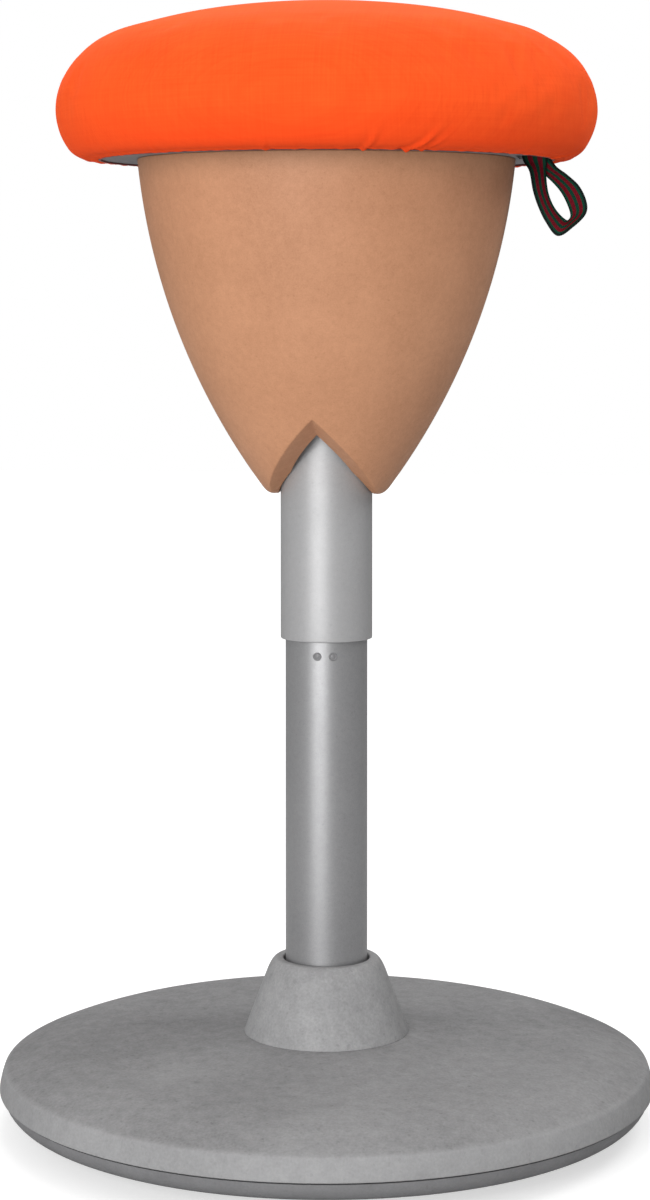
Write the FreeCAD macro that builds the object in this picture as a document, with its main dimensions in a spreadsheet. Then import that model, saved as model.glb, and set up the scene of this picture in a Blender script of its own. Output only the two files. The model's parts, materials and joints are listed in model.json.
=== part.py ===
"""Wobble stool: a round cushion on a tapered body, a telescopic column and a rocking base.

The stool stands on a domed rubber sole, so the whole of it rocks in any direction. A gas
lift in the column carries the seat: it swivels on a thrust bearing, slides by its stroke,
and is released by a lever under the cushion that a webbing loop pulls.

Millimetres, +Z up. The origin is the middle of the sole's flat underside. The two notches
of the tapered body face -Y and +Y, and the webbing loop hangs at +X. The height is set to
the top of the stroke.
"""
import FreeCAD
import Part
import Sketcher
import math
import os

SIZES = {
    # Rocking sole and the plate in it
    "sole_flat_radius": 70,
    "sole_rocker_arc": 650,
    "sole_edge_width": 11.5,
    "sole_edge_arc": 15,
    "sole_inset": 2.1,
    "sole_ledge_height": 22.4,
    "sole_floor_height": 16,
    "sole_skin": 5,
    "pocket_start": 20,
    "pocket_width": 42,
    "rib_width": 14,
    "sole_lip": 9.5,
    "plate_thickness": 8,
    "plate_clearance": 2.5,
    # Base cover
    "hem_groove": 1.2,
    "hem_radius": 199.6,
    "hem_width": 9.6,
    "hem_seat": 3.5,
    "rim_arc": 21.5,
    "crease_inset": 2.9,
    "crease_rise": 12,
    "shoulder_width": 36.7,
    "shoulder_rise": 13.2,
    "shoulder_arc": 66.7,
    "cover_top_rise": 5.7,
    "cover_flat_margin": 2.5,
    "cover_bore_gap": 6,
    "cover_wall": 3.5,
    "boss_radius": 7,
    "boss_inset": 20,
    # Collar, socket and their fasteners
    "collar_rise": 45.5,
    "collar_foot_radius": 50.5,
    "collar_lip_width": 0.7,
    "collar_rounding": 6.3,
    "collar_wall": 4,
    "collar_gap": 1.3,
    "flange_margin": 3.5,
    "flange_thickness": 8,
    "socket_wall": 5,
    "socket_top_gap": 1.7,
    "bolt_reach": 12,
    "bolt_radius": 4,
    "bolt_head_radius": 6.5,
    "bolt_head_height": 5,
    "bolt_end_gap": 2,
    "screw_radius": 3,
    "screw_head_radius": 5,
    "screw_head_height": 3,
    "screw_head_gap": 0.5,
    "screw_end_gap": 2,
    "cover_screw_radius": 2.5,
    "cover_screw_head": 4.5,
    "cover_screw_reach": 12,
    # Column
    "stroke": 190,
    "tube_radius": 25,
    "tube_wall": 2.5,
    "tube_overlap": 48.5,
    "lowest_gap": 6.5,
    "sleeve_gap": 1.5,
    "sleeve_wall": 1.5,
    "glide_length": 24,
    "glide_setback": 1.5,
    "running_clearance": 0.06,
    "bush_length": 70,
    "bush_flange": 3,
    "rivet_radius": 2.5,
    "rivet_drop": 57.3,
    "rivet_depth": 5.5,
    "rivet_middle_angle": 5.5,
    "rivet_half_angle": 11,
    # Gas lift
    "floor_lift": 6,
    "floor_thickness": 6,
    "bearing_thickness": 7,
    "bearing_radius": 13,
    "bearing_play": 0.05,
    "washer_thickness": 1.5,
    "clip_radius": 8.5,
    "clip_thickness": 1,
    "clip_groove": 0.8,
    "clip_play": 0.2,
    "rod_radius": 5,
    "rod_foot_gap": 1.5,
    "bump_radius": 11,
    "bump_length": 24,
    "bump_gap": 1.5,
    "cylinder_radius": 14,
    "cylinder_wall": 2,
    "gland_length": 14,
    "piston_gap": 9,
    "piston_length": 12,
    "rod_tip": 2,
    "head_length": 26,
    "taper_drop": 0.9,
    "button_radius": 4,
    "button_length": 39.5,
    "button_travel": 2,
    "button_stand": 8.5,
    "valve_gap": 1,
    # Mounting plate, hub and lever
    "hub_gap": 3,
    "hub_length": 44,
    "hub_wall": 8,
    "mount_corner_gap": 1.7,
    "mount_thickness": 3,
    "cylinder_top_stand": 2,
    "mount_hole_clearance": 0.4,
    "mount_screw_inset": 15,
    "mount_screw_reach": 12,
    "pivot_reach": 50,
    "pin_radius": 2,
    "eye_radius": 3.5,
    "ear_gap": 2.5,
    "ear_thickness": 2,
    "ear_half_length": 8,
    "ear_cap": 0.2,
    "lever_width": 18,
    "lever_thickness": 3,
    "lever_gap": 0.3,
    "lever_end": 6,
    "tab_thickness": 2,
    "tab_gap": 1,
    # Underside plate, board and body
    "under_lip": 3.5,
    "under_thickness": 3,
    "under_hole_radius": 18,
    "board_radius": 137,
    "board_thickness": 18,
    "channel_head_gap": 1,
    "channel_side_gap": 1,
    "channel_end_gap": 3,
    "window_side_gap": 2,
    "window_front": 34,
    "window_back": 11,
    "window_body_gap": 1.7,
    "body_arc": 399.8,
    "body_wall": 14.1,
    "body_tip_width": 3.8,
    "body_foot_width": 4.1,
    "body_foot_rise": 2,
    "body_foot_arc": 5,
    "body_length": 203.4,
    "body_bore_gap": 1,
    "body_bore_length": 14.7,
    "notch_ridge_rise": 17.1,
    "notch_outward_rise": 0.468,
    "notch_side_fall": 0.7,
    "stud_inset": 7.8,
    "stud_radius": 3,
    "stud_below": 18,
    "stud_above": 12,
    # Cushion
    "crown_angle": 13.6,
    "bolster_arc": 58.7,
    "bolster_angle": 72.2,
    "side_arc": 38.2,
    "side_angle": 127.1,
    "tuck_arc": 15.8,
    "cloth_thickness": 1.5,
    "cloth_drop": 0.2,
    "hem_gap": 0.5,
    "hem_flat": 3.9,
    "binding_width": 3.5,
    "binding_height": 1.3,
    # Webbing loop
    "loop_inset": 11,
    "loop_drop": 47,
    "webbing_width": 15,
    "webbing_thickness": 1.6,
    "webbing_top_gap": 0.2,
    "loop_rivet_radius": 2,
    "loop_rivet_drop": 3.3,
}

# The loop hangs like a crossed ribbon: each station gives a point towards the webbing's
# outer edge, which faces the front, and one towards its inner edge, as distances from the
# loop's centre line in the window (outward, backward) and below the underside plate, for
# a loop that reaches down as far as DRAWN_DROP. The webbing's width lies evenly about their
# middle.
DRAWN_DROP = 47
LOOP_STATIONS = (
    ((-7.0, -3.2, 1.0), (7.7, -0.8, 1.0)),
    ((-5.7, -5.6, -2.5), (7.5, 0.8, -2.5)),
    ((-2.2, -8.6, -8.0), (6.8, 3.0, -7.6)),
    ((0.0, -8.0, -19.4), (7.9, 4.4, -19.4)),
    ((2.9, -7.0, -28.6), (10.8, 5.4, -27.8)),
    ((7.6, -5.4, -38.6), (14.9, 6.6, -33.6)),
    ((14.2, -3.6, -46.8), (19.1, 7.1, -37.0)),
    ((23.2, -3.6, -41.6), (20.4, 10.4, -37.2)),
    ((31.0, -1.2, -33.2), (21.9, 9.8, -34.4)),
    ((30.9, 0.2, -25.6), (20.0, 9.0, -27.4)),
    ((26.6, 0.6, -16.8), (15.5, 9.2, -19.2)),
    ((19.8, 1.0, -10.2), (8.0, 9.8, -11.4)),
    ((12.8, 1.6, -4.6), (-0.4, 8.4, -5.0)),
    ((8.3, 2.0, 1.0), (-6.2, 5.0, 1.0)),
)

doc = FreeCAD.newDocument("WobbleStool")


class Size:
    """A number together with the spreadsheet expression that gives it."""

    def __init__(self, value, text=""):
        self.value = float(value)
        self.text = text or "(%.10g)" % value

    def __add__(self, other):
        other = as_size(other)
        return Size(self.value + other.value, "(%s + %s)" % (self.text, other.text))

    def __radd__(self, other):
        return as_size(other) + self

    def __sub__(self, other):
        other = as_size(other)
        return Size(self.value - other.value, "(%s - %s)" % (self.text, other.text))

    def __rsub__(self, other):
        return as_size(other) - self

    def __mul__(self, other):
        other = as_size(other)
        return Size(self.value * other.value, "(%s * %s)" % (self.text, other.text))

    def __rmul__(self, other):
        return as_size(other) * self

    def __truediv__(self, other):
        other = as_size(other)
        return Size(self.value / other.value, "(%s / %s)" % (self.text, other.text))

    def __neg__(self):
        return Size(0) - self


def as_size(item):
    return item if isinstance(item, Size) else Size(item)


def root(size):
    return Size(math.sqrt(size.value), "sqrt(%s)" % size.text)


def sine(size):
    return Size(math.sin(math.radians(size.value)), "sin(%s)" % size.text)


def cosine(size):
    return Size(math.cos(math.radians(size.value)), "cos(%s)" % size.text)


class Sheet:
    """The driving dimensions, as a spreadsheet and as Size attributes."""

    def __init__(self, sizes):
        self.page = doc.addObject("Spreadsheet::Sheet", "Sizes")
        for row, (alias, number) in enumerate(sizes.items(), 1):
            self.page.set("A%d" % row, alias.replace("_", " "))
            self.page.set("B%d" % row, str(number))
            self.page.setAlias("B%d" % row, alias)
        self.page.recompute()
        for alias in sizes:
            setattr(self, alias, Size(self.page.get(alias), "Sizes." + alias))


def bind(target, name, size):
    """Give a property the size's value, and tie it to the sheet."""
    target.setExpression(name, as_size(size).text)


def place(target, x, y, z):
    for axis, size in zip("xyz", (x, y, z)):
        bind(target, "Placement.Base." + axis, size)


def add(kind, label):
    item = doc.addObject(kind, label)
    item.Label = label
    return item


def arc_between(start, end, radius):
    """Arc of under half a circle; a positive radius turns left on the way to end."""
    chord = end - start
    middle = (start + end) * 0.5
    reach = math.sqrt(radius * radius - chord.Length ** 2 / 4)
    left = FreeCAD.Vector(-chord.y, chord.x, 0).normalize()
    centre = middle + left * math.copysign(reach, radius)
    first, last = (start, end) if radius > 0 else (end, start)
    angles = [math.atan2(p.y - centre.y, p.x - centre.x) for p in (first, last)]
    if angles[1] < angles[0]:
        angles[1] += 2 * math.pi
    circle = Part.Circle(centre, FreeCAD.Vector(0, 0, 1), abs(radius))
    return Part.ArcOfCircle(circle, angles[0], angles[1])


def pin_corner(sketch, edge, end, across, up, name):
    """Hold one corner of a profile at its distances from the sketch's origin."""
    for size, kind, axis, letter in ((across, "DistanceX", -2, "r"), (up, "DistanceY", -1, "z")):
        if size.value == 0:
            sketch.addConstraint(Sketcher.Constraint("PointOnObject", edge, end, axis))
            continue
        index = sketch.addConstraint(Sketcher.Constraint(kind, -1, 1, edge, end, size.value))
        sketch.renameConstraint(index, letter + name)
        bind(sketch, "Constraints." + letter + name, size)


def draw(sketch, corners):
    """Closed profile. A corner is (across, up) or (across, up, radius of the arc to it)."""
    corners = [tuple(as_size(item) for item in corner) for corner in corners]
    points = [FreeCAD.Vector(corner[0].value, corner[1].value, 0) for corner in corners]
    ends = []
    for index in range(len(corners)):
        following = (index + 1) % len(corners)
        if len(corners[following]) == 3:
            radius = corners[following][2]
            edge = arc_between(points[index], points[following], radius.value)
            ends.append((1, 2) if radius.value > 0 else (2, 1))
        else:
            edge = Part.LineSegment(points[index], points[following])
            ends.append((1, 2))
        sketch.addGeometry(edge, False)
    for index, corner in enumerate(corners):
        following = (index + 1) % len(corners)
        sketch.addConstraint(Sketcher.Constraint(
            "Coincident", index, ends[index][1], following, ends[following][0]))
        pin_corner(sketch, index, ends[index][0], corner[0], corner[1], str(index))
        if len(corners[following]) == 3:
            radius = corners[following][2]
            bound = sketch.addConstraint(Sketcher.Constraint("Radius", index, abs(radius.value)))
            sketch.renameConstraint(bound, "arc%d" % index)
            bind(sketch, "Constraints.arc%d" % index, radius if radius.value > 0 else -radius)


def turned(label, corners):
    """Body of revolution about Z, from a closed profile of radius and height."""
    body = add("PartDesign::Body", label)
    sketch = body.newObject("Sketcher::SketchObject", label + "_profile")
    plane = [item for item in body.Origin.OriginFeatures if item.Role == "XZ_Plane"][0]
    sketch.AttachmentSupport = [(plane, "")]
    sketch.MapMode = "FlatFace"
    draw(sketch, corners)
    turn = body.newObject("PartDesign::Revolution", label + "_turn")
    turn.Profile = sketch
    turn.ReferenceAxis = (sketch, ["V_Axis"])
    turn.Angle = 360
    return body


def ring(label, inner, outer, bottom, top):
    return turned(label, [(inner, bottom), (outer, bottom), (outer, top), (inner, top)])


def rod(label, radius, length, x, y, z, axis=None):
    """Round bar along Z from (x, y, z), or along the given axis."""
    bar = add("Part::Cylinder", label)
    bind(bar, "Radius", radius)
    bind(bar, "Height", length)
    if axis:
        bar.Placement.Rotation = FreeCAD.Rotation(FreeCAD.Vector(0, 0, 1), axis)
    place(bar, x, y, z)
    return bar


def block(label, x, y, z):
    """Box between the pairs of bounds x, y and z."""
    box = add("Part::Box", label)
    for name, (low, high) in zip(("Length", "Width", "Height"), (x, y, z)):
        bind(box, name, as_size(high) - low)
    place(box, x[0], y[0], z[0])
    return box


def joined(label, *pieces):
    fuse = add("Part::MultiFuse", label)
    fuse.Shapes = list(pieces)
    return fuse


def cut(label, base, *tools):
    result = add("Part::Cut", label)
    result.Base = base
    result.Tool = tools[0] if len(tools) == 1 else joined(label + "_tools", *tools)
    return result


def together(label, pieces):
    """Several separate solids under one name."""
    group = add("Part::Compound", label)
    group.Links = list(pieces)
    return group


def circle_spots(count, radius, start=0):
    """Points evenly round the Z axis."""
    spots = []
    for index in range(count):
        angle = math.radians(start + 360 * index / count)
        spots.append((radius * round(math.cos(angle), 9), radius * round(math.sin(angle), 9)))
    return spots


def square_spots(offset):
    return [(offset * across, offset * along) for across in (-1, 1) for along in (-1, 1)]


def holes(label, spots, radius, bottom, top):
    return [rod("%s_%d" % (label, index), radius, as_size(top) - bottom, x, y, bottom)
            for index, (x, y) in enumerate(spots)]


def screws(label, spots, shank, head, shank_span, head_span):
    """Round-headed screws along Z, one solid each."""
    pieces = []
    shanks = holes(label + "_shank", spots, shank, *shank_span)
    heads = holes(label + "_head", spots, head, *head_span)
    for index, pair in enumerate(zip(shanks, heads)):
        pieces.append(joined("%s_%d" % (label, index), *pair))
    return together(label, pieces)


s = Sheet(SIZES)

# Heights that follow from the sizes, from the floor up
PLATE_BOTTOM = s.sole_floor_height
PLATE_TOP = PLATE_BOTTOM + s.plate_thickness
HEM_BOTTOM = s.sole_ledge_height + s.hem_groove
CREASE_HEIGHT = HEM_BOTTOM + s.crease_rise
SHOULDER_HEIGHT = CREASE_HEIGHT + s.shoulder_rise
COVER_TOP = SHOULDER_HEIGHT + s.cover_top_rise
COLLAR_TOP = COVER_TOP + s.collar_rise
SOCKET_TOP = COLLAR_TOP - s.collar_rounding - s.collar_wall - s.socket_top_gap
FLOOR_BOTTOM = PLATE_TOP + s.floor_lift
FLOOR_TOP = FLOOR_BOTTOM + s.floor_thickness
BEARING_TOP = FLOOR_TOP + s.bearing_thickness
WASHER_BOTTOM = BEARING_TOP + s.bearing_play
WASHER_TOP = WASHER_BOTTOM + s.washer_thickness
BUMP_TOP = WASHER_TOP + s.bump_length
CYLINDER_BOTTOM = BUMP_TOP + s.stroke + s.bump_gap
GLAND_TOP = CYLINDER_BOTTOM + s.gland_length
PISTON_BOTTOM = GLAND_TOP + s.piston_gap
PISTON_TOP = PISTON_BOTTOM + s.piston_length
SLEEVE_BOTTOM = COLLAR_TOP + s.stroke + s.lowest_gap
TUBE_TOP = SLEEVE_BOTTOM + s.tube_overlap
BUSH_TOP = TUBE_TOP + s.bush_flange
HUB_BOTTOM = BUSH_TOP + s.stroke + s.hub_gap
HUB_TOP = HUB_BOTTOM + s.hub_length
SEAT_PLANE = HUB_TOP + s.mount_thickness
CYLINDER_TOP = SEAT_PLANE + s.cylinder_top_stand
BUTTON_TOP = CYLINDER_TOP + s.button_stand
BUTTON_BOTTOM = BUTTON_TOP - s.button_length
VALVE_BOTTOM = BUTTON_BOTTOM - s.button_travel - s.valve_gap
CAVITY_TOP = VALVE_BOTTOM - s.head_length
LEVER_BOTTOM = BUTTON_TOP + s.lever_gap
LEVER_TOP = LEVER_BOTTOM + s.lever_thickness
LEVER_MIDDLE = LEVER_BOTTOM + s.lever_thickness / 2
EAR_TOP = LEVER_MIDDLE + s.eye_radius + s.ear_cap
UNDER_TOP = SEAT_PLANE + s.under_thickness
BOARD_TOP = UNDER_TOP + s.board_thickness
CHANNEL_TOP = EAR_TOP + s.channel_head_gap
CUSHION_BOTTOM = SEAT_PLANE + s.cloth_drop
BINDING_BOTTOM = CUSHION_BOTTOM - s.binding_height

# Radii and places that several pieces share
TUBE_BORE = s.tube_radius - s.tube_wall
SLEEVE_BORE = s.tube_radius + s.sleeve_gap
SLEEVE_RADIUS = SLEEVE_BORE + s.sleeve_wall
ROD_BORE = s.rod_radius + s.running_clearance
CYLINDER_BORE = s.cylinder_radius - s.cylinder_wall
SOLE_RADIUS = s.hem_radius - s.sole_inset
HEM_BORE = s.hem_radius - s.hem_width
PLATE_RADIUS = HEM_BORE - s.sole_lip - s.plate_clearance
CREASE_RADIUS = s.hem_radius - s.crease_inset
SHOULDER_RADIUS = CREASE_RADIUS - s.shoulder_width
BOSS_CIRCLE = SHOULDER_RADIUS - s.boss_inset
SOCKET_RADIUS = s.tube_radius + s.socket_wall
BOLT_CIRCLE = SOCKET_RADIUS + s.bolt_reach
COLLAR_BORE = s.tube_radius + s.collar_gap
COVER_FLAT_RADIUS = s.collar_foot_radius + s.cover_flat_margin
UNDER_RADIUS = s.board_radius + s.under_lip
HEM_START = UNDER_RADIUS + s.hem_gap
LOOP_REACH = s.board_radius - s.loop_inset
LEVER_END = LOOP_REACH + s.lever_end
WINDOW_REACH = s.webbing_width / 2 + s.window_side_gap
BODY_TOP_RADIUS = LOOP_REACH - WINDOW_REACH - s.window_body_gap
BODY_BORE = SLEEVE_RADIUS + s.body_bore_gap
MOUNT_HALF = (BODY_TOP_RADIUS - s.body_wall - s.mount_corner_gap) / root(Size(2))
SCREW_CIRCLE = s.pocket_start + s.pocket_width * 2 + s.rib_width * 1.5
SOLE_SPOTS = circle_spots(6, SCREW_CIRCLE)
BOLT_SPOTS = circle_spots(4, BOLT_CIRCLE, 45)
BOSS_SPOTS = circle_spots(4, BOSS_CIRCLE, 45)
MOUNT_SPOTS = square_spots(MOUNT_HALF - s.mount_screw_inset)
STUD_SPOTS = circle_spots(4, BODY_TOP_RADIUS - s.stud_inset, 45)


def rocker_height(radius):
    """Height of the sole's underside at a radius outside its flat."""
    out = radius - s.sole_flat_radius
    return s.sole_rocker_arc - root(s.sole_rocker_arc * s.sole_rocker_arc - out * out)


def rocker_sole():
    lip = HEM_BORE + s.hem_seat
    wall = PLATE_RADIUS + s.plate_clearance
    edge = SOLE_RADIUS - s.sole_edge_width
    second = s.pocket_start + s.pocket_width + s.rib_width
    corners = [
        (0, 0),
        (s.sole_flat_radius, 0),
        (edge, rocker_height(edge), s.sole_rocker_arc),
        (SOLE_RADIUS, s.sole_ledge_height, s.sole_edge_arc),
        (lip, s.sole_ledge_height),
        (lip, HEM_BOTTOM),
        (wall, HEM_BOTTOM),
        (wall, PLATE_BOTTOM)]
    for start in (second, s.pocket_start):
        end = start + s.pocket_width
        floor = s.sole_skin + (rocker_height(end) if start is second else 0)
        corners += [(end, PLATE_BOTTOM), (end, floor), (start, floor), (start, PLATE_BOTTOM)]
    corners.append((0, PLATE_BOTTOM))
    sole = turned("rocker_sole_blank", corners)
    seat = s.screw_head_height + rocker_height(SCREW_CIRCLE) + s.screw_head_gap * 2
    recesses = holes("sole_recess", SOLE_SPOTS, s.screw_head_radius + s.screw_head_gap, -1, seat)
    passages = holes("sole_passage", SOLE_SPOTS, s.screw_radius, 0, PLATE_BOTTOM + 1)
    return cut("rocker_sole", sole, *recesses, *passages)


def sole_screws():
    seat = s.screw_head_height + rocker_height(SCREW_CIRCLE) + s.screw_head_gap * 2
    tip = PLATE_TOP - s.screw_end_gap
    return screws("sole_screws", SOLE_SPOTS, s.screw_radius, s.screw_head_radius,
                  (seat - 1, tip), (seat - s.screw_head_height, seat))


def ballast_plate():
    plate = rod("ballast_disc", PLATE_RADIUS, s.plate_thickness, 0, 0, PLATE_BOTTOM)
    below = PLATE_BOTTOM - 1
    above = PLATE_TOP + 1
    tools = holes("plate_sole", SOLE_SPOTS, s.screw_radius, below, above)
    tools += holes("plate_bolt", BOLT_SPOTS, s.bolt_radius, below, above)
    tools += holes("plate_cover", BOSS_SPOTS, s.cover_screw_radius, below, above)
    tools += holes("plate_recess", BOSS_SPOTS, s.cover_screw_head + s.screw_head_gap,
                   below, PLATE_BOTTOM + s.screw_head_height)
    return cut("ballast_plate", plate, *tools)


def cover_slope(radius):
    """Height of the cover's top between its flat and its shoulder."""
    fall = s.cover_top_rise / (SHOULDER_RADIUS - COVER_FLAT_RADIUS)
    return COVER_TOP - fall * (radius - COVER_FLAT_RADIUS)


def base_cover():
    wall = s.cover_wall
    bore = SOCKET_RADIUS + s.cover_bore_gap
    inner_crease = CREASE_RADIUS - wall * 2.2
    shell = turned("base_cover_shell", [
        (bore, COVER_TOP - wall),
        (COVER_FLAT_RADIUS, COVER_TOP - wall),
        (SHOULDER_RADIUS, SHOULDER_HEIGHT - wall),
        (inner_crease, CREASE_HEIGHT - wall * 0.6, -(s.shoulder_arc - wall)),
        (HEM_BORE, HEM_BOTTOM + wall),
        (HEM_BORE, HEM_BOTTOM),
        (s.hem_radius, HEM_BOTTOM),
        (CREASE_RADIUS, CREASE_HEIGHT, s.rim_arc),
        (SHOULDER_RADIUS, SHOULDER_HEIGHT, s.shoulder_arc),
        (COVER_FLAT_RADIUS, COVER_TOP),
        (bore, COVER_TOP)])
    top = cover_slope(BOSS_CIRCLE) - wall / 2
    bosses = holes("cover_boss", BOSS_SPOTS, s.boss_radius, PLATE_TOP, top)
    body = joined("base_cover_blank", shell, *bosses)
    threads = holes("cover_thread", BOSS_SPOTS, s.cover_screw_radius,
                    PLATE_TOP - 1, PLATE_TOP + s.cover_screw_reach)
    return cut("base_cover", body, *threads)


def cover_screws():
    seat = PLATE_BOTTOM + s.screw_head_height
    return screws("cover_screws", BOSS_SPOTS, s.cover_screw_radius, s.cover_screw_head,
                  (seat - 1, PLATE_TOP + s.cover_screw_reach), (PLATE_BOTTOM, seat))


def column_socket():
    flange_top = PLATE_TOP + s.flange_thickness
    flange = BOLT_CIRCLE + s.bolt_head_radius + s.flange_margin
    socket = turned("column_socket_blank", [
        (s.tube_radius, PLATE_TOP),
        (flange, PLATE_TOP),
        (flange, flange_top),
        (SOCKET_RADIUS, flange_top),
        (SOCKET_RADIUS, SOCKET_TOP),
        (s.tube_radius, SOCKET_TOP)])
    tools = holes("socket_bolt", BOLT_SPOTS, s.bolt_radius, PLATE_TOP - 1, flange_top + 1)
    return cut("column_socket", socket, *tools)


def socket_bolts():
    seat = PLATE_TOP + s.flange_thickness
    return screws("socket_bolts", BOLT_SPOTS, s.bolt_radius, s.bolt_head_radius,
                  (PLATE_BOTTOM + s.bolt_end_gap, seat + 1), (seat, seat + s.bolt_head_height))


def base_collar():
    lip = COLLAR_BORE + s.collar_lip_width
    corner = lip + s.collar_rounding
    rise = s.collar_rise
    narrowing = s.collar_foot_radius - corner
    side = root(rise * rise + narrowing * narrowing)
    lean = narrowing / side
    arc = s.collar_rounding / root((1 - lean) / (1 + lean))
    below = COLLAR_TOP - s.collar_rounding
    return turned("base_collar", [
        (s.collar_foot_radius - s.collar_wall, COVER_TOP),
        (s.collar_foot_radius, COVER_TOP),
        (corner + s.collar_rounding * lean, COLLAR_TOP - s.collar_rounding * (rise / side)),
        (lip, COLLAR_TOP, arc),
        (COLLAR_BORE, COLLAR_TOP),
        (COLLAR_BORE, below),
        (corner - s.collar_wall / 2, below - s.collar_wall)])


def rivet_bars(label, radius, start, reach):
    """Two short radial bars into the front of the stand tube."""
    bars = []
    height = TUBE_TOP - s.rivet_drop
    for index, side in enumerate((-1, 1)):
        angle = s.rivet_middle_angle + s.rivet_half_angle * side
        turn = math.radians(angle.value)
        axis = FreeCAD.Vector(math.sin(turn), -math.cos(turn), 0)
        bars.append(rod("%s_%d" % (label, index), radius, reach,
                        start * sine(angle), -(start * cosine(angle)), height, axis))
    return bars


def stand_tube():
    tube = ring("stand_tube_blank", TUBE_BORE, s.tube_radius, PLATE_TOP, TUBE_TOP)
    bars = rivet_bars("tube_rivet_hole", s.rivet_radius, TUBE_BORE - 1, s.tube_wall + 3)
    return cut("stand_tube", tube, *bars)


def tube_rivets():
    start = s.tube_radius - s.rivet_depth
    bars = together("rivet_bars", rivet_bars("rivet_bar", s.rivet_radius, start, s.rivet_depth + 1))
    round_face = rod("rivet_face", s.tube_radius, TUBE_TOP, 0, 0, 0)
    rivets = add("Part::Common", "tube_rivets")
    rivets.Base = bars
    rivets.Tool = round_face
    return rivets


def guide_bush():
    bore = s.cylinder_radius + s.running_clearance
    bush = turned("guide_bush_blank", [
        (bore, TUBE_TOP - s.bush_length),
        (TUBE_BORE, TUBE_TOP - s.bush_length),
        (TUBE_BORE, TUBE_TOP),
        (s.tube_radius, TUBE_TOP),
        (s.tube_radius, BUSH_TOP),
        (bore, BUSH_TOP)])
    start = s.tube_radius - s.rivet_depth
    bars = rivet_bars("bush_rivet_hole", s.rivet_radius, start, s.rivet_depth + 1)
    return cut("guide_bush", bush, *bars)


def column_floor():
    return ring("column_floor", ROD_BORE, TUBE_BORE, FLOOR_BOTTOM, FLOOR_TOP)


def thrust_bearing():
    return ring("thrust_bearing", ROD_BORE, s.bearing_radius, FLOOR_TOP, BEARING_TOP)


def bearing_washer():
    return ring("bearing_washer", s.rod_radius, s.bearing_radius, WASHER_BOTTOM, WASHER_TOP)


def clip_span():
    top = FLOOR_BOTTOM - s.clip_play
    return top - s.clip_thickness, top


def piston_rod():
    bottom, top = clip_span()
    groove = s.rod_radius - s.clip_groove
    return turned("piston_rod", [
        (0, PLATE_TOP + s.rod_foot_gap),
        (s.rod_radius, PLATE_TOP + s.rod_foot_gap),
        (s.rod_radius, bottom),
        (groove, bottom),
        (groove, top),
        (s.rod_radius, top),
        (s.rod_radius, PISTON_TOP + s.rod_tip),
        (0, PISTON_TOP + s.rod_tip)])


def rod_clip():
    bottom, top = clip_span()
    return ring("rod_clip", s.rod_radius - s.clip_groove, s.clip_radius, bottom, top)


def bump_stop():
    return ring("bump_stop", s.rod_radius, s.bump_radius, WASHER_TOP, BUMP_TOP)


def piston():
    outer = CYLINDER_BORE - s.running_clearance
    return ring("piston", s.rod_radius, outer, PISTON_BOTTOM, PISTON_TOP)


def taper_radius(height):
    """Radius of the cylinder's tapered head."""
    rise = (height - HUB_BOTTOM) / (CYLINDER_TOP - HUB_BOTTOM)
    return s.cylinder_radius - s.taper_drop * rise


def gas_cylinder():
    valve = s.button_radius + s.running_clearance
    return turned("gas_cylinder", [
        (CYLINDER_BORE, CYLINDER_BOTTOM),
        (s.cylinder_radius, CYLINDER_BOTTOM),
        (s.cylinder_radius, HUB_BOTTOM),
        (taper_radius(CYLINDER_TOP), CYLINDER_TOP),
        (valve, CYLINDER_TOP),
        (valve, VALVE_BOTTOM),
        (0, VALVE_BOTTOM),
        (0, CAVITY_TOP),
        (CYLINDER_BORE, CAVITY_TOP)])


def cylinder_gland():
    return ring("cylinder_gland", ROD_BORE, CYLINDER_BORE, CYLINDER_BOTTOM, GLAND_TOP)


def valve_button():
    return rod("valve_button", s.button_radius, s.button_length, 0, 0, BUTTON_BOTTOM)


def taper_hub():
    outer = s.cylinder_radius + s.hub_wall
    return turned("taper_hub", [
        (s.cylinder_radius, HUB_BOTTOM),
        (outer, HUB_BOTTOM),
        (outer, HUB_TOP),
        (taper_radius(HUB_TOP), HUB_TOP)])


def cover_tube():
    return ring("cover_tube", SLEEVE_BORE, SLEEVE_RADIUS, SLEEVE_BOTTOM, HUB_TOP)


def glide_ring():
    bottom = SLEEVE_BOTTOM + s.glide_setback
    bore = s.tube_radius + s.running_clearance
    return ring("glide_ring", bore, SLEEVE_BORE, bottom, bottom + s.glide_length)


def mounting_plate():
    span = (-MOUNT_HALF, MOUNT_HALF)
    plate = block("mount_blank", span, span, (HUB_TOP, SEAT_PLANE))
    centre = rod("mount_centre", s.cylinder_radius + s.mount_hole_clearance,
                 s.mount_thickness + 2, 0, 0, HUB_TOP - 1)
    tools = holes("mount_hole", MOUNT_SPOTS, s.screw_radius, HUB_TOP - 1, SEAT_PLANE + 1)
    return cut("mounting_plate", plate, centre, *tools)


def mount_screws():
    return screws("mount_screws", MOUNT_SPOTS, s.screw_radius, s.screw_head_radius,
                  (HUB_TOP - 1, UNDER_TOP + s.mount_screw_reach),
                  (HUB_TOP - s.screw_head_height, HUB_TOP))


def ear_bounds():
    inner = s.lever_width / 2 + s.ear_gap
    return inner, inner + s.ear_thickness


def lever_bracket():
    inner, outer = ear_bounds()
    length = (-s.pivot_reach - s.ear_half_length, -s.pivot_reach + s.ear_half_length)
    foot = block("bracket_foot", length, (-outer, outer),
                 (SEAT_PLANE, SEAT_PLANE + s.ear_thickness))
    near = block("bracket_ear_front", length, (-outer, -inner), (SEAT_PLANE, EAR_TOP))
    far = block("bracket_ear_back", length, (inner, outer), (SEAT_PLANE, EAR_TOP))
    hole = lever_bar("bracket_pin_hole", s.pin_radius, outer + 1)
    return cut("lever_bracket", joined("bracket_blank", foot, near, far), hole)


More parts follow.
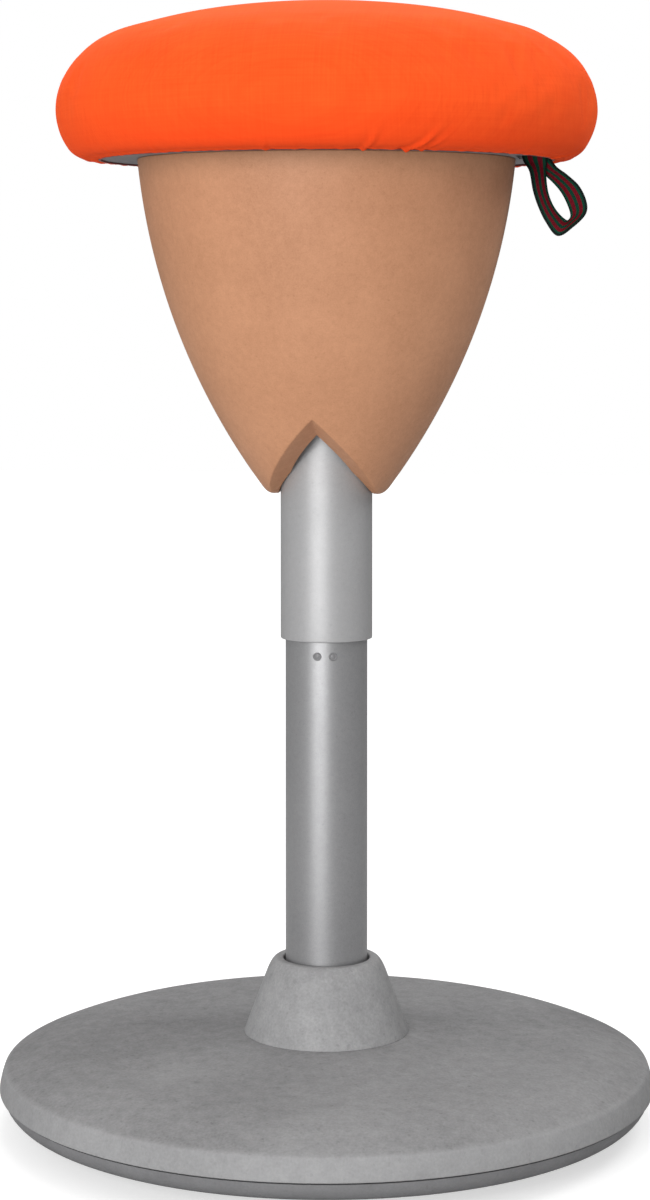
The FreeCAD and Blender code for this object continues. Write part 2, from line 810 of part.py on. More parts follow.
def lever_bar(label, radius, half_length):
    """Round bar along Y through the lever's pivot."""
    return rod(label, radius, half_length * 2, -s.pivot_reach, half_length, LEVER_MIDDLE,
               FreeCAD.Vector(0, -1, 0))


def lever_pin():
    return lever_bar("lever_pin", s.pin_radius, ear_bounds()[1])


def webbing_rivet(label, half_length):
    height = LEVER_BOTTOM - s.loop_rivet_drop
    return rod(label, s.loop_rivet_radius, half_length * 2, LOOP_REACH, half_length, height,
               FreeCAD.Vector(0, -1, 0))


def release_lever():
    half = s.lever_width / 2
    arm = block("lever_arm", (-s.pivot_reach, LEVER_END), (-half, half),
                (LEVER_BOTTOM, LEVER_TOP))
    eye = lever_bar("lever_eye", s.eye_radius, half)
    reach = s.webbing_width / 2 - 0.5
    tab_half = s.tab_thickness / 2
    tab = block("lever_tab", (LOOP_REACH - reach, LEVER_END), (-tab_half, tab_half),
                (UNDER_TOP + s.tab_gap, LEVER_BOTTOM))
    blank = joined("lever_blank", arm, eye, tab)
    pin_hole = lever_bar("lever_pin_hole", s.pin_radius + s.running_clearance, half + 1)
    return cut("release_lever", blank, pin_hole, webbing_rivet("lever_rivet_hole", half))


def window(label, bottom, top):
    """The opening in the underside that the webbing loop hangs through."""
    return block(label, (LOOP_REACH - WINDOW_REACH, LOOP_REACH + WINDOW_REACH),
                 (-s.window_front, s.window_back), (bottom, top))


def under_plate():
    plate = rod("under_disc", UNDER_RADIUS, s.under_thickness, 0, 0, SEAT_PLANE)
    below = SEAT_PLANE - 1
    above = UNDER_TOP + 1
    outer = ear_bounds()[1] + s.channel_side_gap
    foot = block("under_bracket_gap", (-s.pivot_reach - s.ear_half_length - 2,
                                       -s.pivot_reach + s.ear_half_length + 2),
                 (-outer, outer), (below, above))
    centre = rod("under_centre", s.under_hole_radius, s.under_thickness + 2, 0, 0, below)
    tools = holes("under_screw", MOUNT_SPOTS, s.screw_radius, below, above)
    tools += holes("under_stud", STUD_SPOTS, s.stud_radius, below, above)
    return cut("under_plate", plate, foot, centre, window("under_window", below, above), *tools)


def seat_board():
    board = rod("board_disc", s.board_radius, s.board_thickness, 0, 0, UNDER_TOP)
    half = ear_bounds()[1] + s.channel_side_gap
    below = UNDER_TOP - 1
    channel = block("board_channel", (-s.pivot_reach - s.ear_half_length - 4,
                                      LEVER_END + s.channel_end_gap),
                    (-half, half), (below, CHANNEL_TOP))
    tools = holes("board_screw", MOUNT_SPOTS, s.screw_radius, below,
                  UNDER_TOP + s.mount_screw_reach)
    tools += holes("board_stud", STUD_SPOTS, s.stud_radius, below, SEAT_PLANE + s.stud_above)
    opening = window("board_window", below, CHANNEL_TOP)
    return cut("seat_board", board, channel, opening, *tools)


def notch(label, side):
    """Roof-shaped cutter that leaves the body's wall to the front or back."""
    spread = BODY_TOP_RADIUS
    ridge = SEAT_PLANE - s.body_length + s.notch_ridge_rise
    sections = []
    for index, reach in enumerate((Size(0), spread)):
        rise = ridge + s.notch_outward_rise * reach
        eaves = rise - s.notch_side_fall * spread
        sketch = add("Sketcher::SketchObject", "%s_section_%d" % (label, index))
        sketch.Placement.Rotation = FreeCAD.Rotation(FreeCAD.Vector(1, 0, 0), 90)
        place(sketch, -spread, reach * side, 0)
        draw(sketch, [(0, eaves), (spread * 2, eaves), (spread, rise)])
        sections.append(sketch)
    roof = add("Part::Loft", label)
    roof.Sections = sections
    roof.Solid = True
    roof.Ruled = True
    return roof


def body_cone():
    bottom = SEAT_PLANE - s.body_length
    tip = BODY_BORE + s.body_tip_width
    blank = turned("body_blank", [
        (BODY_BORE, bottom + s.body_bore_gap),
        (BODY_BORE + s.body_bore_gap, bottom),
        (tip, bottom),
        (tip + s.body_foot_width, bottom + s.body_foot_rise, s.body_foot_arc),
        (BODY_TOP_RADIUS, SEAT_PLANE, s.body_arc),
        (BODY_TOP_RADIUS - s.body_wall, SEAT_PLANE),
        (BODY_BORE, bottom + s.body_bore_length, -(s.body_arc - s.body_wall))])
    studs = holes("body_stud", STUD_SPOTS, s.stud_radius,
                  SEAT_PLANE - s.stud_below, SEAT_PLANE + 1)
    return cut("body_cone", blank, notch("notch_front", -1), notch("notch_back", 1), *studs)


def body_studs():
    return together("body_studs", holes("stud", STUD_SPOTS, s.stud_radius,
                                        SEAT_PLANE - s.stud_below, SEAT_PLANE + s.stud_above))


def cushion_side(inset):
    """Corners from the cushion's tucked-in underside up to its crown, on tangent arcs."""
    angles = (Size(180), s.side_angle, s.bolster_angle, s.crown_angle)
    arcs = (s.tuck_arc - inset, s.side_arc - inset, s.bolster_arc - inset)
    radius = HEM_START + s.hem_flat
    height = CUSHION_BOTTOM + inset
    corners = [(radius, height)]
    for arc, low, high in zip(arcs, angles, angles[1:]):
        radius = radius + arc * (sine(high) - sine(low))
        height = height + arc * (cosine(high) - cosine(low))
        corners.append((radius, height, arc))
    crown = radius / sine(s.crown_angle)
    corners.append((0, height + crown * (1 - cosine(s.crown_angle)), crown))
    return corners


def seat_foam():
    cloth = s.cloth_thickness
    return turned("seat_foam", [
        (0, BOARD_TOP), (s.board_radius, BOARD_TOP), (s.board_radius, UNDER_TOP),
        (HEM_START, UNDER_TOP), (HEM_START, CUSHION_BOTTOM + cloth)] + cushion_side(cloth))


def seat_cover():
    cloth = s.cloth_thickness
    inner = cushion_side(cloth)
    outer = cushion_side(Size(0))
    back = [inner[-1][:2]]
    for index in range(len(inner) - 1, 0, -1):
        radius, height = inner[index - 1][:2]
        back.append((radius, height, -as_size(inner[index][2])))
    return turned("seat_cover", [(HEM_START, CUSHION_BOTTOM)] + outer + back
                  + [(HEM_START, CUSHION_BOTTOM + cloth)])


def cover_binding():
    return ring("cover_binding", HEM_START, HEM_START + s.binding_width,
                BINDING_BOTTOM, CUSHION_BOTTOM)


def loop_edges():
    """Outer and inner edge points of the webbing, from one end round to the other."""
    side = (s.tab_thickness.value + s.webbing_thickness.value) / 2
    top = LEVER_BOTTOM.value - s.webbing_top_gap.value - SEAT_PLANE.value
    tab = s.under_thickness.value + s.tab_gap.value
    stations = [((-1, -side, top), (1, -side, top)), ((-1, -side, tab), (1, -side, tab))]
    stretch = s.loop_drop.value / DRAWN_DROP
    for pair in LOOP_STATIONS:
        stations.append([[number * stretch for number in point] for point in pair])
    stations += [((1, side, tab), (-1, side, tab)), ((1, side, top), (-1, side, top))]
    origin = FreeCAD.Vector(LOOP_REACH.value, 0, SEAT_PLANE.value)
    pairs = []
    for outer, inner in stations:
        outer = origin + FreeCAD.Vector(*outer)
        inner = origin + FreeCAD.Vector(*inner)
        half = (inner - outer).normalize() * (s.webbing_width.value / 2)
        middle = (outer + inner) * 0.5
        pairs.append((middle - half, middle + half))
    return pairs


def pull_loop():
    """Webbing band: a ruled loft through a thin rectangle at every station."""
    pairs = loop_edges()
    middles = [(outer + inner) * 0.5 for outer, inner in pairs]
    sections = []
    for index, (outer, inner) in enumerate(pairs):
        before = middles[max(index - 1, 0)]
        after = middles[min(index + 1, len(pairs) - 1)]
        normal = (inner - outer).cross(after - before).normalize()
        lift = normal * (s.webbing_thickness.value / 2)
        corners = [outer - lift, inner - lift, inner + lift, outer + lift]
        sections.append(Part.makePolygon(corners + corners[:1]))
    band = add("Part::Feature", "webbing_band")
    band.Shape = Part.makeLoft(sections, True, True)
    return cut("pull_loop", band, webbing_rivet("loop_rivet_hole", s.lever_width / 2))


def loop_rivet():
    return webbing_rivet("loop_rivet", s.tab_thickness / 2 + s.webbing_thickness)


PARTS = (
    rocker_sole, sole_screws, ballast_plate, base_cover, cover_screws, column_socket,
    socket_bolts, base_collar, stand_tube, tube_rivets, guide_bush, column_floor,
    thrust_bearing, piston_rod, bearing_washer, rod_clip, bump_stop, piston, gas_cylinder,
    cylinder_gland, valve_button, taper_hub, cover_tube, glide_ring, mounting_plate,
    mount_screws, lever_bracket, lever_pin, release_lever, pull_loop, loop_rivet, under_plate,
    seat_board, body_cone, body_studs, seat_foam, seat_cover, cover_binding)

made = [make() for make in PARTS]
doc.recompute()

for item in doc.Objects:
    faults = {"Invalid", "Error"} & set(item.State)
    if faults:
        raise RuntimeError("%s is %s" % (item.Label, ", ".join(faults)))

os.makedirs("parts", exist_ok=True)
for item in made:
    shape = item.Shape
    if shape.isNull() or not shape.isValid() or not shape.Solids:
        raise RuntimeError(item.Label + " has no sound shape")
    shape.exportStep(os.path.join("parts", item.Label + ".step"))
    print("%-16s %2d solid %12.1f mm3" % (item.Label, len(shape.Solids), shape.Volume))
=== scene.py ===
"""Wobble stool: an orange cushion on a tan notched body, a grey column and a rocking base.

Metres, +Z up. Surfaces are worked out as arrays of points: turned pieces are a profile of
radius and height carried round the column's axis, the body is a function of the angle round
the axis and the way down its wall, and the pull loop is a band carried along a hanging curve.
"""
import json
import math
import bpy
import numpy as np
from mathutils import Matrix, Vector


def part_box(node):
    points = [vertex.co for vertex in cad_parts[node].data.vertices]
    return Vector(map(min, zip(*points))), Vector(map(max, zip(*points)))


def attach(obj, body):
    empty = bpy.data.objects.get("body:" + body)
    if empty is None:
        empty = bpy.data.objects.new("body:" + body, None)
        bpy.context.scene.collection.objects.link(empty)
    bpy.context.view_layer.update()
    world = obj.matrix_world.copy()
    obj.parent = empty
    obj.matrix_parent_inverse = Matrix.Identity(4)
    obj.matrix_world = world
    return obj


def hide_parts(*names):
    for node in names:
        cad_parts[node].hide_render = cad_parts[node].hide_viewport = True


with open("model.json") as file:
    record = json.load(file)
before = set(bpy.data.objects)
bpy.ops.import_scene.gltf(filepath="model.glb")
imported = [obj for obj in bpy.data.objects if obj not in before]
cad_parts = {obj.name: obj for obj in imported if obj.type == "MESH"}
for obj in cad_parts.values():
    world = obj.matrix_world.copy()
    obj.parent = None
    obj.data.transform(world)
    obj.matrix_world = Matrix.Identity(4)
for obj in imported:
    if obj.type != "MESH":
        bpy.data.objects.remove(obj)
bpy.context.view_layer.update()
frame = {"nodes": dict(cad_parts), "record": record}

MM = 0.001
TURN = 2 * math.pi


def low(name, axis):
    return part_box(name)[0][axis]


def high(name, axis):
    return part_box(name)[1][axis]


# Heights and radii that the frame gives
SEAT_PLANE = low("under_plate", 2)
BOARD_RADIUS = high("seat_board", 0)
BOARD_TOP = high("seat_board", 2)
UNDER_TOP = high("under_plate", 2)
SLEEVE_RADIUS = high("cover_tube", 0)
SLEEVE_BOTTOM = low("cover_tube", 2)
SLEEVE_TOP = high("cover_tube", 2)
TUBE_RADIUS = high("stand_tube", 0)
TUBE_BOTTOM = low("stand_tube", 2)
TUBE_TOP = high("stand_tube", 2)
RIVET_HEIGHT = (low("tube_rivets", 2) + high("tube_rivets", 2)) / 2
COLLAR_TOP = high("base_collar", 2)
COLLAR_FOOT = high("base_collar", 0)
COVER_TOP = high("base_cover", 2)
HEM_BOTTOM = high("rocker_sole", 2)
HEM_RADIUS = high("base_cover", 0)
BODY_RADIUS = high("body_cone", 0)
BODY_BOTTOM = low("body_cone", 2)
COVER_EDGE = low("seat_cover", 2)
LOOP_REACH = (low("loop_rivet", 0) + high("loop_rivet", 0)) / 2

# Cushion: radii of its side's arcs, and the slopes where they meet
TUCK_ARC = 15.8 * MM
SIDE_ARC = 38.2 * MM
BOLSTER_ARC = 58.7 * MM
SIDE_SLOPE = math.radians(127.1)
BOLSTER_SLOPE = math.radians(72.2)
CROWN_SLOPE = math.radians(13.6)
HEM_START = 141 * MM
HEM_FLAT = 3.9 * MM
# The cloth's edge, turned in under the plate, and the gaps to the plate and to the board
TURN_IN = 137.7 * MM
TURN_IN_THICKNESS = 0.8 * MM
PLATE_GAP = 0.05 * MM
BOARD_GAP = 0.3 * MM
# How the side draws in, the crown sinks and the shoulder sinks further
SIDE_SLACK = 0.006
CROWN_SLACK = 0.014
SLACK_REACH = 30 * MM
SHOULDER_RADIUS = 128 * MM
SHOULDER_SPREAD = 30 * MM
SHOULDER_DROP = 1.9 * MM
# The cover blown up by simulation, the way up the side over which the cushion comes to follow
# it, and the share of each ring's average move that is taken off again
START_INSET = 1.6 * MM
FURTHEST_MOVE = 3.5 * MM
VOXEL = 5 * MM
SIMULATED_FRAMES = 20
SETTLE_REACH = 26 * MM
KEPT_OUTLINE = 0.85
# Gathers are measured along the side at this radius. Waves of the hem and of its binding are
# the count round the seat, the height and the phase of each sine
GATHER_RADIUS = 157 * MM
GATHER_SHARE = 0.85
HEM_WAVES = ((97, 1.0, 0.0), (61, 0.8, 1.3), (143, 0.6, 2.1))
HEM_WAVE_DEPTH = 0.16 * MM
HEM_WAVE_REACH = 5 * MM
BINDING_WAVES = ((97, 1.0, 0.0), (61, 0.7, 1.3))
BINDING_WAVE_DEPTH = 0.10 * MM

# Body: wall, notch and foot
BODY_ARC = 399.8 * MM
BODY_WALL = 14.1 * MM
BODY_BORE = 29 * MM
BORE_LENGTH = 14.7 * MM
FOOT_RADIUS = 36.9 * MM
FOOT_RISE = 2 * MM
RIDGE_RISE = 17.1 * MM
NOTCH_OUTWARD_RISE = 0.468
NOTCH_SIDE_FALL = 0.7
NOTCH_EASE = 2.4 * MM
TOP_LIP = 0.9 * MM
# Rounding of the lower edge's outer corner in millimetres, and what the foot adds to it
EDGE_ROUND = 1.1
FOOT_ROUND = 3.4
FOOT_BAND = 6 * MM

# Tubes, collar and disc: walls, and how far the crease in the disc's rim lies above its edge
SLEEVE_WALL = 1.5 * MM
TUBE_WALL = 2.5 * MM
DISC_WALL = 3.5 * MM
CREASE_HEIGHT = 13.4 * MM

# Webbing loop: a point towards its outer and its inner edge at each station, in millimetres
# from the loop's centre line at the underside plate
WEBBING_WIDTH = 15 * MM
WEBBING_THICKNESS = 1.6 * MM
RIB_SPACING = 0.8 * MM
LOOP_STATIONS = (
    ((-7.5, -1.8, 10.6), (7.5, -1.8, 10.6)),
    ((-7.5, -1.8, 4.0), (7.5, -1.8, 4.0)),
    ((-7.0, -3.2, 1.0), (7.7, -0.8, 1.0)),
    ((-5.7, -5.6, -2.5), (7.5, 0.8, -2.5)),
    ((-2.2, -8.6, -8.0), (6.8, 3.0, -7.6)),
    ((0.0, -8.0, -19.4), (7.9, 4.4, -19.4)),
    ((2.9, -7.0, -28.6), (10.8, 5.4, -27.8)),
    ((7.6, -5.4, -38.6), (14.9, 6.6, -33.6)),
    ((14.2, -3.6, -46.8), (19.1, 7.1, -37.0)),
    ((23.2, -3.6, -41.6), (20.4, 10.4, -37.2)),
    ((31.0, -1.2, -33.2), (21.9, 9.8, -34.4)),
    ((30.9, 0.2, -25.6), (20.0, 9.0, -27.4)),
    ((26.6, 0.6, -16.8), (15.5, 9.2, -19.2)),
    ((19.8, 1.0, -10.2), (8.0, 9.8, -11.4)),
    ((12.8, 1.6, -4.6), (-0.4, 8.4, -5.0)),
    ((7.5, 1.8, 4.0), (-7.5, 1.8, 4.0)),
    ((7.5, 1.8, 10.6), (-7.5, 1.8, 10.6)),
)

# Camera and lens in pixels of the photograph, 650 wide and 1200 high
PHOTO_HEIGHT = 1200
FOCAL_PIXELS = 2753
AXIS_SHIFT = -1.5
HORIZON_SHIFT = 389.4 - 600
CAMERA_AZIMUTH = math.radians(7.4)
CAMERA_PITCH = math.radians(2)
CAMERA_DISTANCE = 1.6773
CAMERA_HEIGHT = 0.5067
SENSOR_WIDTH = 36


def arc_centre(start, end, radius):
    """Centre of the arc from start to end, which turns left, and its chord's length.

    It lies off the chord's middle, square to the chord, by the root of the radius squared less
    half the chord squared.
    """
    chord = end - start
    length = np.hypot(*chord)
    left = np.array([-chord[1], chord[0]]) / length
    return (start + end) / 2 + left * math.sqrt(radius * radius - length * length / 4), length


def arc(start, end, radius, step):
    """Points of the arc from start to end, evenly spaced in angle."""
    start = np.array(start, float)
    end = np.array(end, float)
    centre, length = arc_centre(start, end, radius)
    first = math.atan2(*(start - centre)[::-1])
    sweep = 2 * math.asin(length / 2 / radius)
    count = max(3, int(sweep * radius / step) + 2)
    angles = first + np.linspace(0, sweep, count)
    return centre + radius * np.stack([np.cos(angles), np.sin(angles)], 1)


def line(start, end, step=4 * MM):
    """Points evenly spaced along the straight way from start to end."""
    start = np.array(start, float)
    end = np.array(end, float)
    count = max(2, int(np.hypot(*(end - start)) / step) + 2)
    return start + (end - start) * np.linspace(0, 1, count)[:, None]


def trimmed(points, reach):
    """The path without its last stretch of that length."""
    steps = np.hypot(*np.diff(points, axis=0).T)
    travelled = np.concatenate([[0], np.cumsum(steps)])
    stop = travelled[-1] - min(reach, travelled[-1] * 0.45)
    kept = points[travelled < stop - 0.05 * MM]
    last = [np.interp(stop, travelled, points[:, axis]) for axis in (0, 1)]
    return np.vstack([kept, last])


def chain(*parts):
    """One closed profile through the parts, which alternate paths and the reach of the blend
    from each path to the next.

    A blend is the curve (1-t)^2 a + 2t(1-t) corner + t^2 b, between the shortened paths.
    """
    paths = [np.array(path) for path in parts[0::2]]
    corners = []
    for index, reach in enumerate(parts[1::2]):
        following = (index + 1) % len(paths)
        corners.append(paths[index][-1])
        paths[index] = trimmed(paths[index], reach)
        paths[following] = trimmed(paths[following][::-1], reach)[::-1]
    t = np.linspace(0, 1, 7)[1:-1, None]
    points = []
    for path, corner, following in zip(paths, corners, paths[1:] + paths[:1]):
        points.append(path)
        points.append((1 - t) ** 2 * path[-1] + 2 * t * (1 - t) * corner + t ** 2 * following[0])
    return np.vstack(points)


def added(name, data):
    """New object in the scene, at the origin."""
    piece = bpy.data.objects.new(name, data)
    bpy.context.scene.collection.objects.link(piece)
    return piece


def surface(name, rings, first=None, last=None, closed=False, uv=None):
    """Mesh over rings of points, each ring closed on itself.

    rings is an array of ring by point by axis. first and last are single points that close
    the ends, and closed joins the last ring to the first. uv has one more column than the
    rings have points, so that it can run on to where the ring closes.
    """
    count, around = rings.shape[:2]
    vertices = [rings.reshape(-1, 3)]
    rows = np.arange(count if closed else count - 1)[:, None]
    columns = np.arange(around)[None, :]
    beyond = (columns + 1) % around
    below = (rows + 1) % count
    quads = np.stack([rows * around + columns, rows * around + beyond,
                      below * around + beyond, below * around + columns], -1).reshape(-1, 4)
    triangles = []
    ends = [(first, 0, False), (last, count - 1, True)]
    for point, row, reverse in ends:
        if point is None:
            continue
        pole = sum(len(block) for block in vertices)
        vertices.append(np.array([point], float))
        fan = np.stack([np.full(around, pole), row * around + beyond[0],
                        row * around + columns[0]], 1)
        triangles.append(fan[:, ::-1] if reverse else fan)
    corners = np.concatenate([quads.ravel()] + [fan.ravel() for fan in triangles])
    sizes = np.concatenate([np.full(len(quads), 4)] + [np.full(len(fan), 3) for fan in triangles])
    mesh = bpy.data.meshes.new(name)
    points = np.concatenate(vertices)
    mesh.vertices.add(len(points))
    mesh.vertices.foreach_set("co", points.ravel())
    mesh.loops.add(len(corners))
    mesh.loops.foreach_set("vertex_index", corners.astype(np.int32))
    mesh.polygons.add(len(sizes))
    starts = np.concatenate([[0], np.cumsum(sizes)[:-1]])
    mesh.polygons.foreach_set("loop_start", starts.astype(np.int32))
    mesh.polygons.foreach_set("use_smooth", np.ones(len(sizes), bool))
    mesh.update(calc_edges=True)
    if uv is not None:
        layer = mesh.uv_layers.new(name="Cloth")
        ahead = columns + 1
        places = [np.stack([uv[rows, columns], uv[rows, ahead], uv[below, ahead],
                            uv[below, columns]], 2).reshape(-1, 2)]
        for _, row, reverse in [end for end in ends if end[0] is not None]:
            tip = np.broadcast_to(uv[row].mean(0), (around, 2))
            corner = np.stack([tip, uv[row, 1:], uv[row, :-1]], 1)
            places.append((corner[:, ::-1] if reverse else corner).reshape(-1, 2))
        layer.data.foreach_set("uv", np.concatenate(places).ravel())
    return added(name, mesh)


def full_turn(count):
    """Angles evenly spaced round the whole turn."""
    return np.linspace(0, TURN, count, endpoint=False)


def carried_round(radius, height, angle):
    """Points at each radius and height, carried round the Z axis: row by angle by axis."""
    x = radius * np.cos(angle)
    return np.stack([x, radius * np.sin(angle), np.broadcast_to(height, x.shape)], -1)


def turned(name, profile, around):
    """Turned piece: each profile point at radius r and height z runs round the Z axis.

    A profile that starts or ends on the axis is closed there by one point, and one that
    doesn't is a closed outline. The profile goes round the wall with the solid on its left.
    """
    profile = np.array(profile)
    first = last = None
    if profile[0, 0] < 0.01 * MM:
        first = (0, 0, profile[0, 1])
        profile = profile[1:]
    if profile[-1, 0] < 0.01 * MM:
        last = (0, 0, profile[-1, 1])
        profile = profile[:-1]
    rings = carried_round(profile[:, :1], profile[:, 1:], full_turn(around))
    return surface(name, rings, first, last, closed=first is None and last is None)


def rounded_outline(corners, steps, reaches):
    """Closed outline through the corners, in order from the first.

    Steps are the spacing of the points along each side, and reaches how far the blend at the
    side's end reaches, both in millimetres.
    """
    parts = []
    for start, end, step, reach in zip(corners, corners[1:] + corners[:1], steps, reaches):
        parts += [line(start, end, step * MM), reach * MM]
    return chain(*parts)


def node(tree, kind, values=None, **settings):
    """Adds a shader node. Values give its inputs a number, a colour or another node's output."""
    made = tree.nodes.new(kind)
    for key, value in settings.items():
        setattr(made, key, value)
    for key, value in (values or {}).items():
        if isinstance(value, bpy.types.NodeSocket):
            tree.links.new(value, made.inputs[key])
        else:
            made.inputs[key].default_value = value
    return made


def sums(tree, operation, first, second=0.0, third=0.0):
    values = {0: first, 1: second, 2: third}
    return node(tree, "ShaderNodeMath", values, operation=operation).outputs[0]


def plus(tree, first, second):
    return sums(tree, "ADD", first, second)


def times(tree, first, second):
    return sums(tree, "MULTIPLY", first, second)


def apart(tree, vector):
    """The vector's three parts."""
    return node(tree, "ShaderNodeSeparateXYZ", {0: vector}).outputs


def tint(tree, factor, first, second):
    """Colour between first and second."""
    values = {0: factor, 6: first, 7: second}
    return node(tree, "ShaderNodeMix", values, data_type="RGBA").outputs[2]


def spread(tree, value, from_low, from_high, to_low, to_high):
    """Value from one range mapped on to another, and kept inside it."""
    values = {0: value, 1: from_low, 2: from_high, 3: to_low, 4: to_high}
    return node(tree, "ShaderNodeMapRange", values).outputs[0]


def noise(tree, place, scale, detail, rough=0.55):
    values = {"Vector": place, "Scale": scale, "Detail": detail, "Roughness": rough}
    return node(tree, "ShaderNodeTexNoise", values).outputs[0]


def stretched(tree, place, scale):
    return node(tree, "ShaderNodeMapping", {"Vector": place, "Scale": scale}).outputs[0]


def shader_group(name, inputs, outputs):
    """New node group with its named sockets, and its group input and output nodes."""
    group = bpy.data.node_groups.new(name, "ShaderNodeTree")
    for label, kind, value in inputs:
        socket = group.interface.new_socket(label, in_out="INPUT", socket_type=kind)
        if value is not None:
            socket.default_value = value
    for label, kind in outputs:
        group.interface.new_socket(label, in_out="OUTPUT", socket_type=kind)
    return group, group.nodes.new("NodeGroupInput"), group.nodes.new("NodeGroupOutput")


def moulded_skin():
    """Powdery moulded or coated skin: fine pits and dark specks over soft blotches.

    Tone is a mask from 0 to 1 for the colour, and Relief a height for the bump.
    """
    group, given, result = shader_group(
        "moulded_skin",
        [("Place", "NodeSocketVector", None), ("Pits", "NodeSocketFloat", 900.0),
         ("Blotches", "NodeSocketFloat", 22.0), ("Streak", "NodeSocketFloat", 0.3)],
        [("Tone", "NodeSocketFloat"), ("Relief", "NodeSocketFloat")])
    place, fine, coarse, streak = [given.outputs[key] for key in ("Place", "Pits", "Blotches",
                                                                  "Streak")]
    pits = noise(group, place, fine, 3.0, 0.6)
    middle = noise(group, place, times(group, fine, 0.22), 3.0, 0.6)
    blotches = noise(group, place, coarse, 5.0, 0.6)
    broad = noise(group, place, times(group, coarse, 0.3), 3.0, 0.5)
    cloudy = plus(group, times(group, blotches, 0.6), times(group, broad, 0.4))
    speckled = plus(group, cloudy, sums(group, "MULTIPLY_ADD", pits, 0.5, -0.25))
    patchy = times(group, sums(group, "SUBTRACT", middle, 0.5), streak)
    specks = noise(group, place, times(group, fine, 0.5), 1.0, 0.5)
    specked = spread(group, specks, 0.66, 0.76, 0.0, 0.2)
    tone = sums(group, "SUBTRACT", plus(group, speckled, patchy), specked)
    group.links.new(spread(group, tone, 0.26, 0.74, 0.0, 1.0), result.inputs["Tone"])
    relief = plus(group, times(group, pits, 0.6), times(group, middle, 0.4))
    group.links.new(relief, result.inputs["Relief"])
    return group


def plain_weave():
    """Plain weave, from a place counted in threads.

    Each thread is the arch |sin(pi u)| times a wave (1 + sin) / 2 along it that swaps phase
    from thread to thread, and the higher of warp and weft shows.
    """
    group, given, result = shader_group(
        "plain_weave", [("Threads", "NodeSocketVector", None)],
        [("Relief", "NodeSocketFloat"), ("Gap", "NodeSocketFloat")])
    warp, weft, _ = apart(group, given.outputs["Threads"])
    heights = []
    for across, along in ((warp, weft), (weft, warp)):
        arch = sums(group, "ABSOLUTE", sums(group, "SINE", times(group, across, math.pi)))
        phase = plus(group, along, sums(group, "FLOOR", across))
        if heights:
            phase = plus(group, phase, 1.0)
        wave = sums(group, "SINE", times(group, phase, math.pi))
        heights.append(times(group, arch, sums(group, "MULTIPLY_ADD", wave, 0.5, 0.5)))
    relief = sums(group, "MAXIMUM", heights[0], heights[1])
    group.links.new(relief, result.inputs["Relief"])
    group.links.new(spread(group, relief, 0.0, 0.35, 1.0, 0.0), result.inputs["Gap"])
    return group


SKIN = moulded_skin()
WEAVE = plain_weave()


def new_material(name, roughness, metallic=0.0, **sockets):
    """Material with its Principled shader, whose even values sit on the shader's own sockets."""
    material = bpy.data.materials.new(name)
    material.use_nodes = True
    tree = material.node_tree
    shader = tree.nodes["Principled BSDF"]
    shader.inputs["Roughness"].default_value = roughness
    shader.inputs["Metallic"].default_value = metallic
    for key, value in sockets.items():
        shader.inputs[key.replace("_", " ")].default_value = value
    return material, tree, shader


def object_place(tree):
    return node(tree, "ShaderNodeTexCoord").outputs["Object"]


def bumped(tree, shader, height, strength, distance):
    values = {"Height": height, "Strength": strength, "Distance": distance}
    tree.links.new(node(tree, "ShaderNodeBump", values).outputs[0], shader.inputs["Normal"])


def skin_material(name, dark, light, roughness, pits=900.0, blotches=22.0, relief=0.25,
                  depth=0.25 * MM, metallic=0.0, streak=0.3, rim=None, **sockets):
    """Moulded or coated finish between two tones, painted lighter below the height rim: a painted
    highlight on that band, with some rubbed wear.

    Pits and blotches are noise scales, relief and depth the bump's strength and distance, and
    streak is how strongly its middling patches show.
    """
    material, tree, shader = new_material(name, roughness, metallic, **sockets)
    skin = node(tree, "ShaderNodeGroup", node_tree=SKIN)
    tree.links.new(object_place(tree), skin.inputs["Place"])
    skin.inputs["Pits"].default_value = pits
    skin.inputs["Blotches"].default_value = blotches
    skin.inputs["Streak"].default_value = streak
    colour = tint(tree, skin.outputs["Tone"], (*dark, 1), (*light, 1))
    # Below the rim height the colour is tinted towards a lighter grey: a painted highlight on the
    # rim band, with some rubbed wear
    if rim:
        height = apart(tree, object_place(tree))[2]
        wear_and_painted_highlight = spread(tree, height, rim - 0.5 * MM, rim + 1.5 * MM, 0.30, 0.0)
        colour = tint(tree, wear_and_painted_highlight, colour, tuple(1.35 * part for part in light) + (1,))
    tree.links.new(colour, shader.inputs["Base Color"])
    rough = spread(tree, skin.outputs["Tone"], 0.0, 1.0, roughness + 0.06, roughness - 0.06)
    tree.links.new(rough, shader.inputs["Roughness"])
    bumped(tree, shader, skin.outputs["Relief"], relief, depth)
    return material


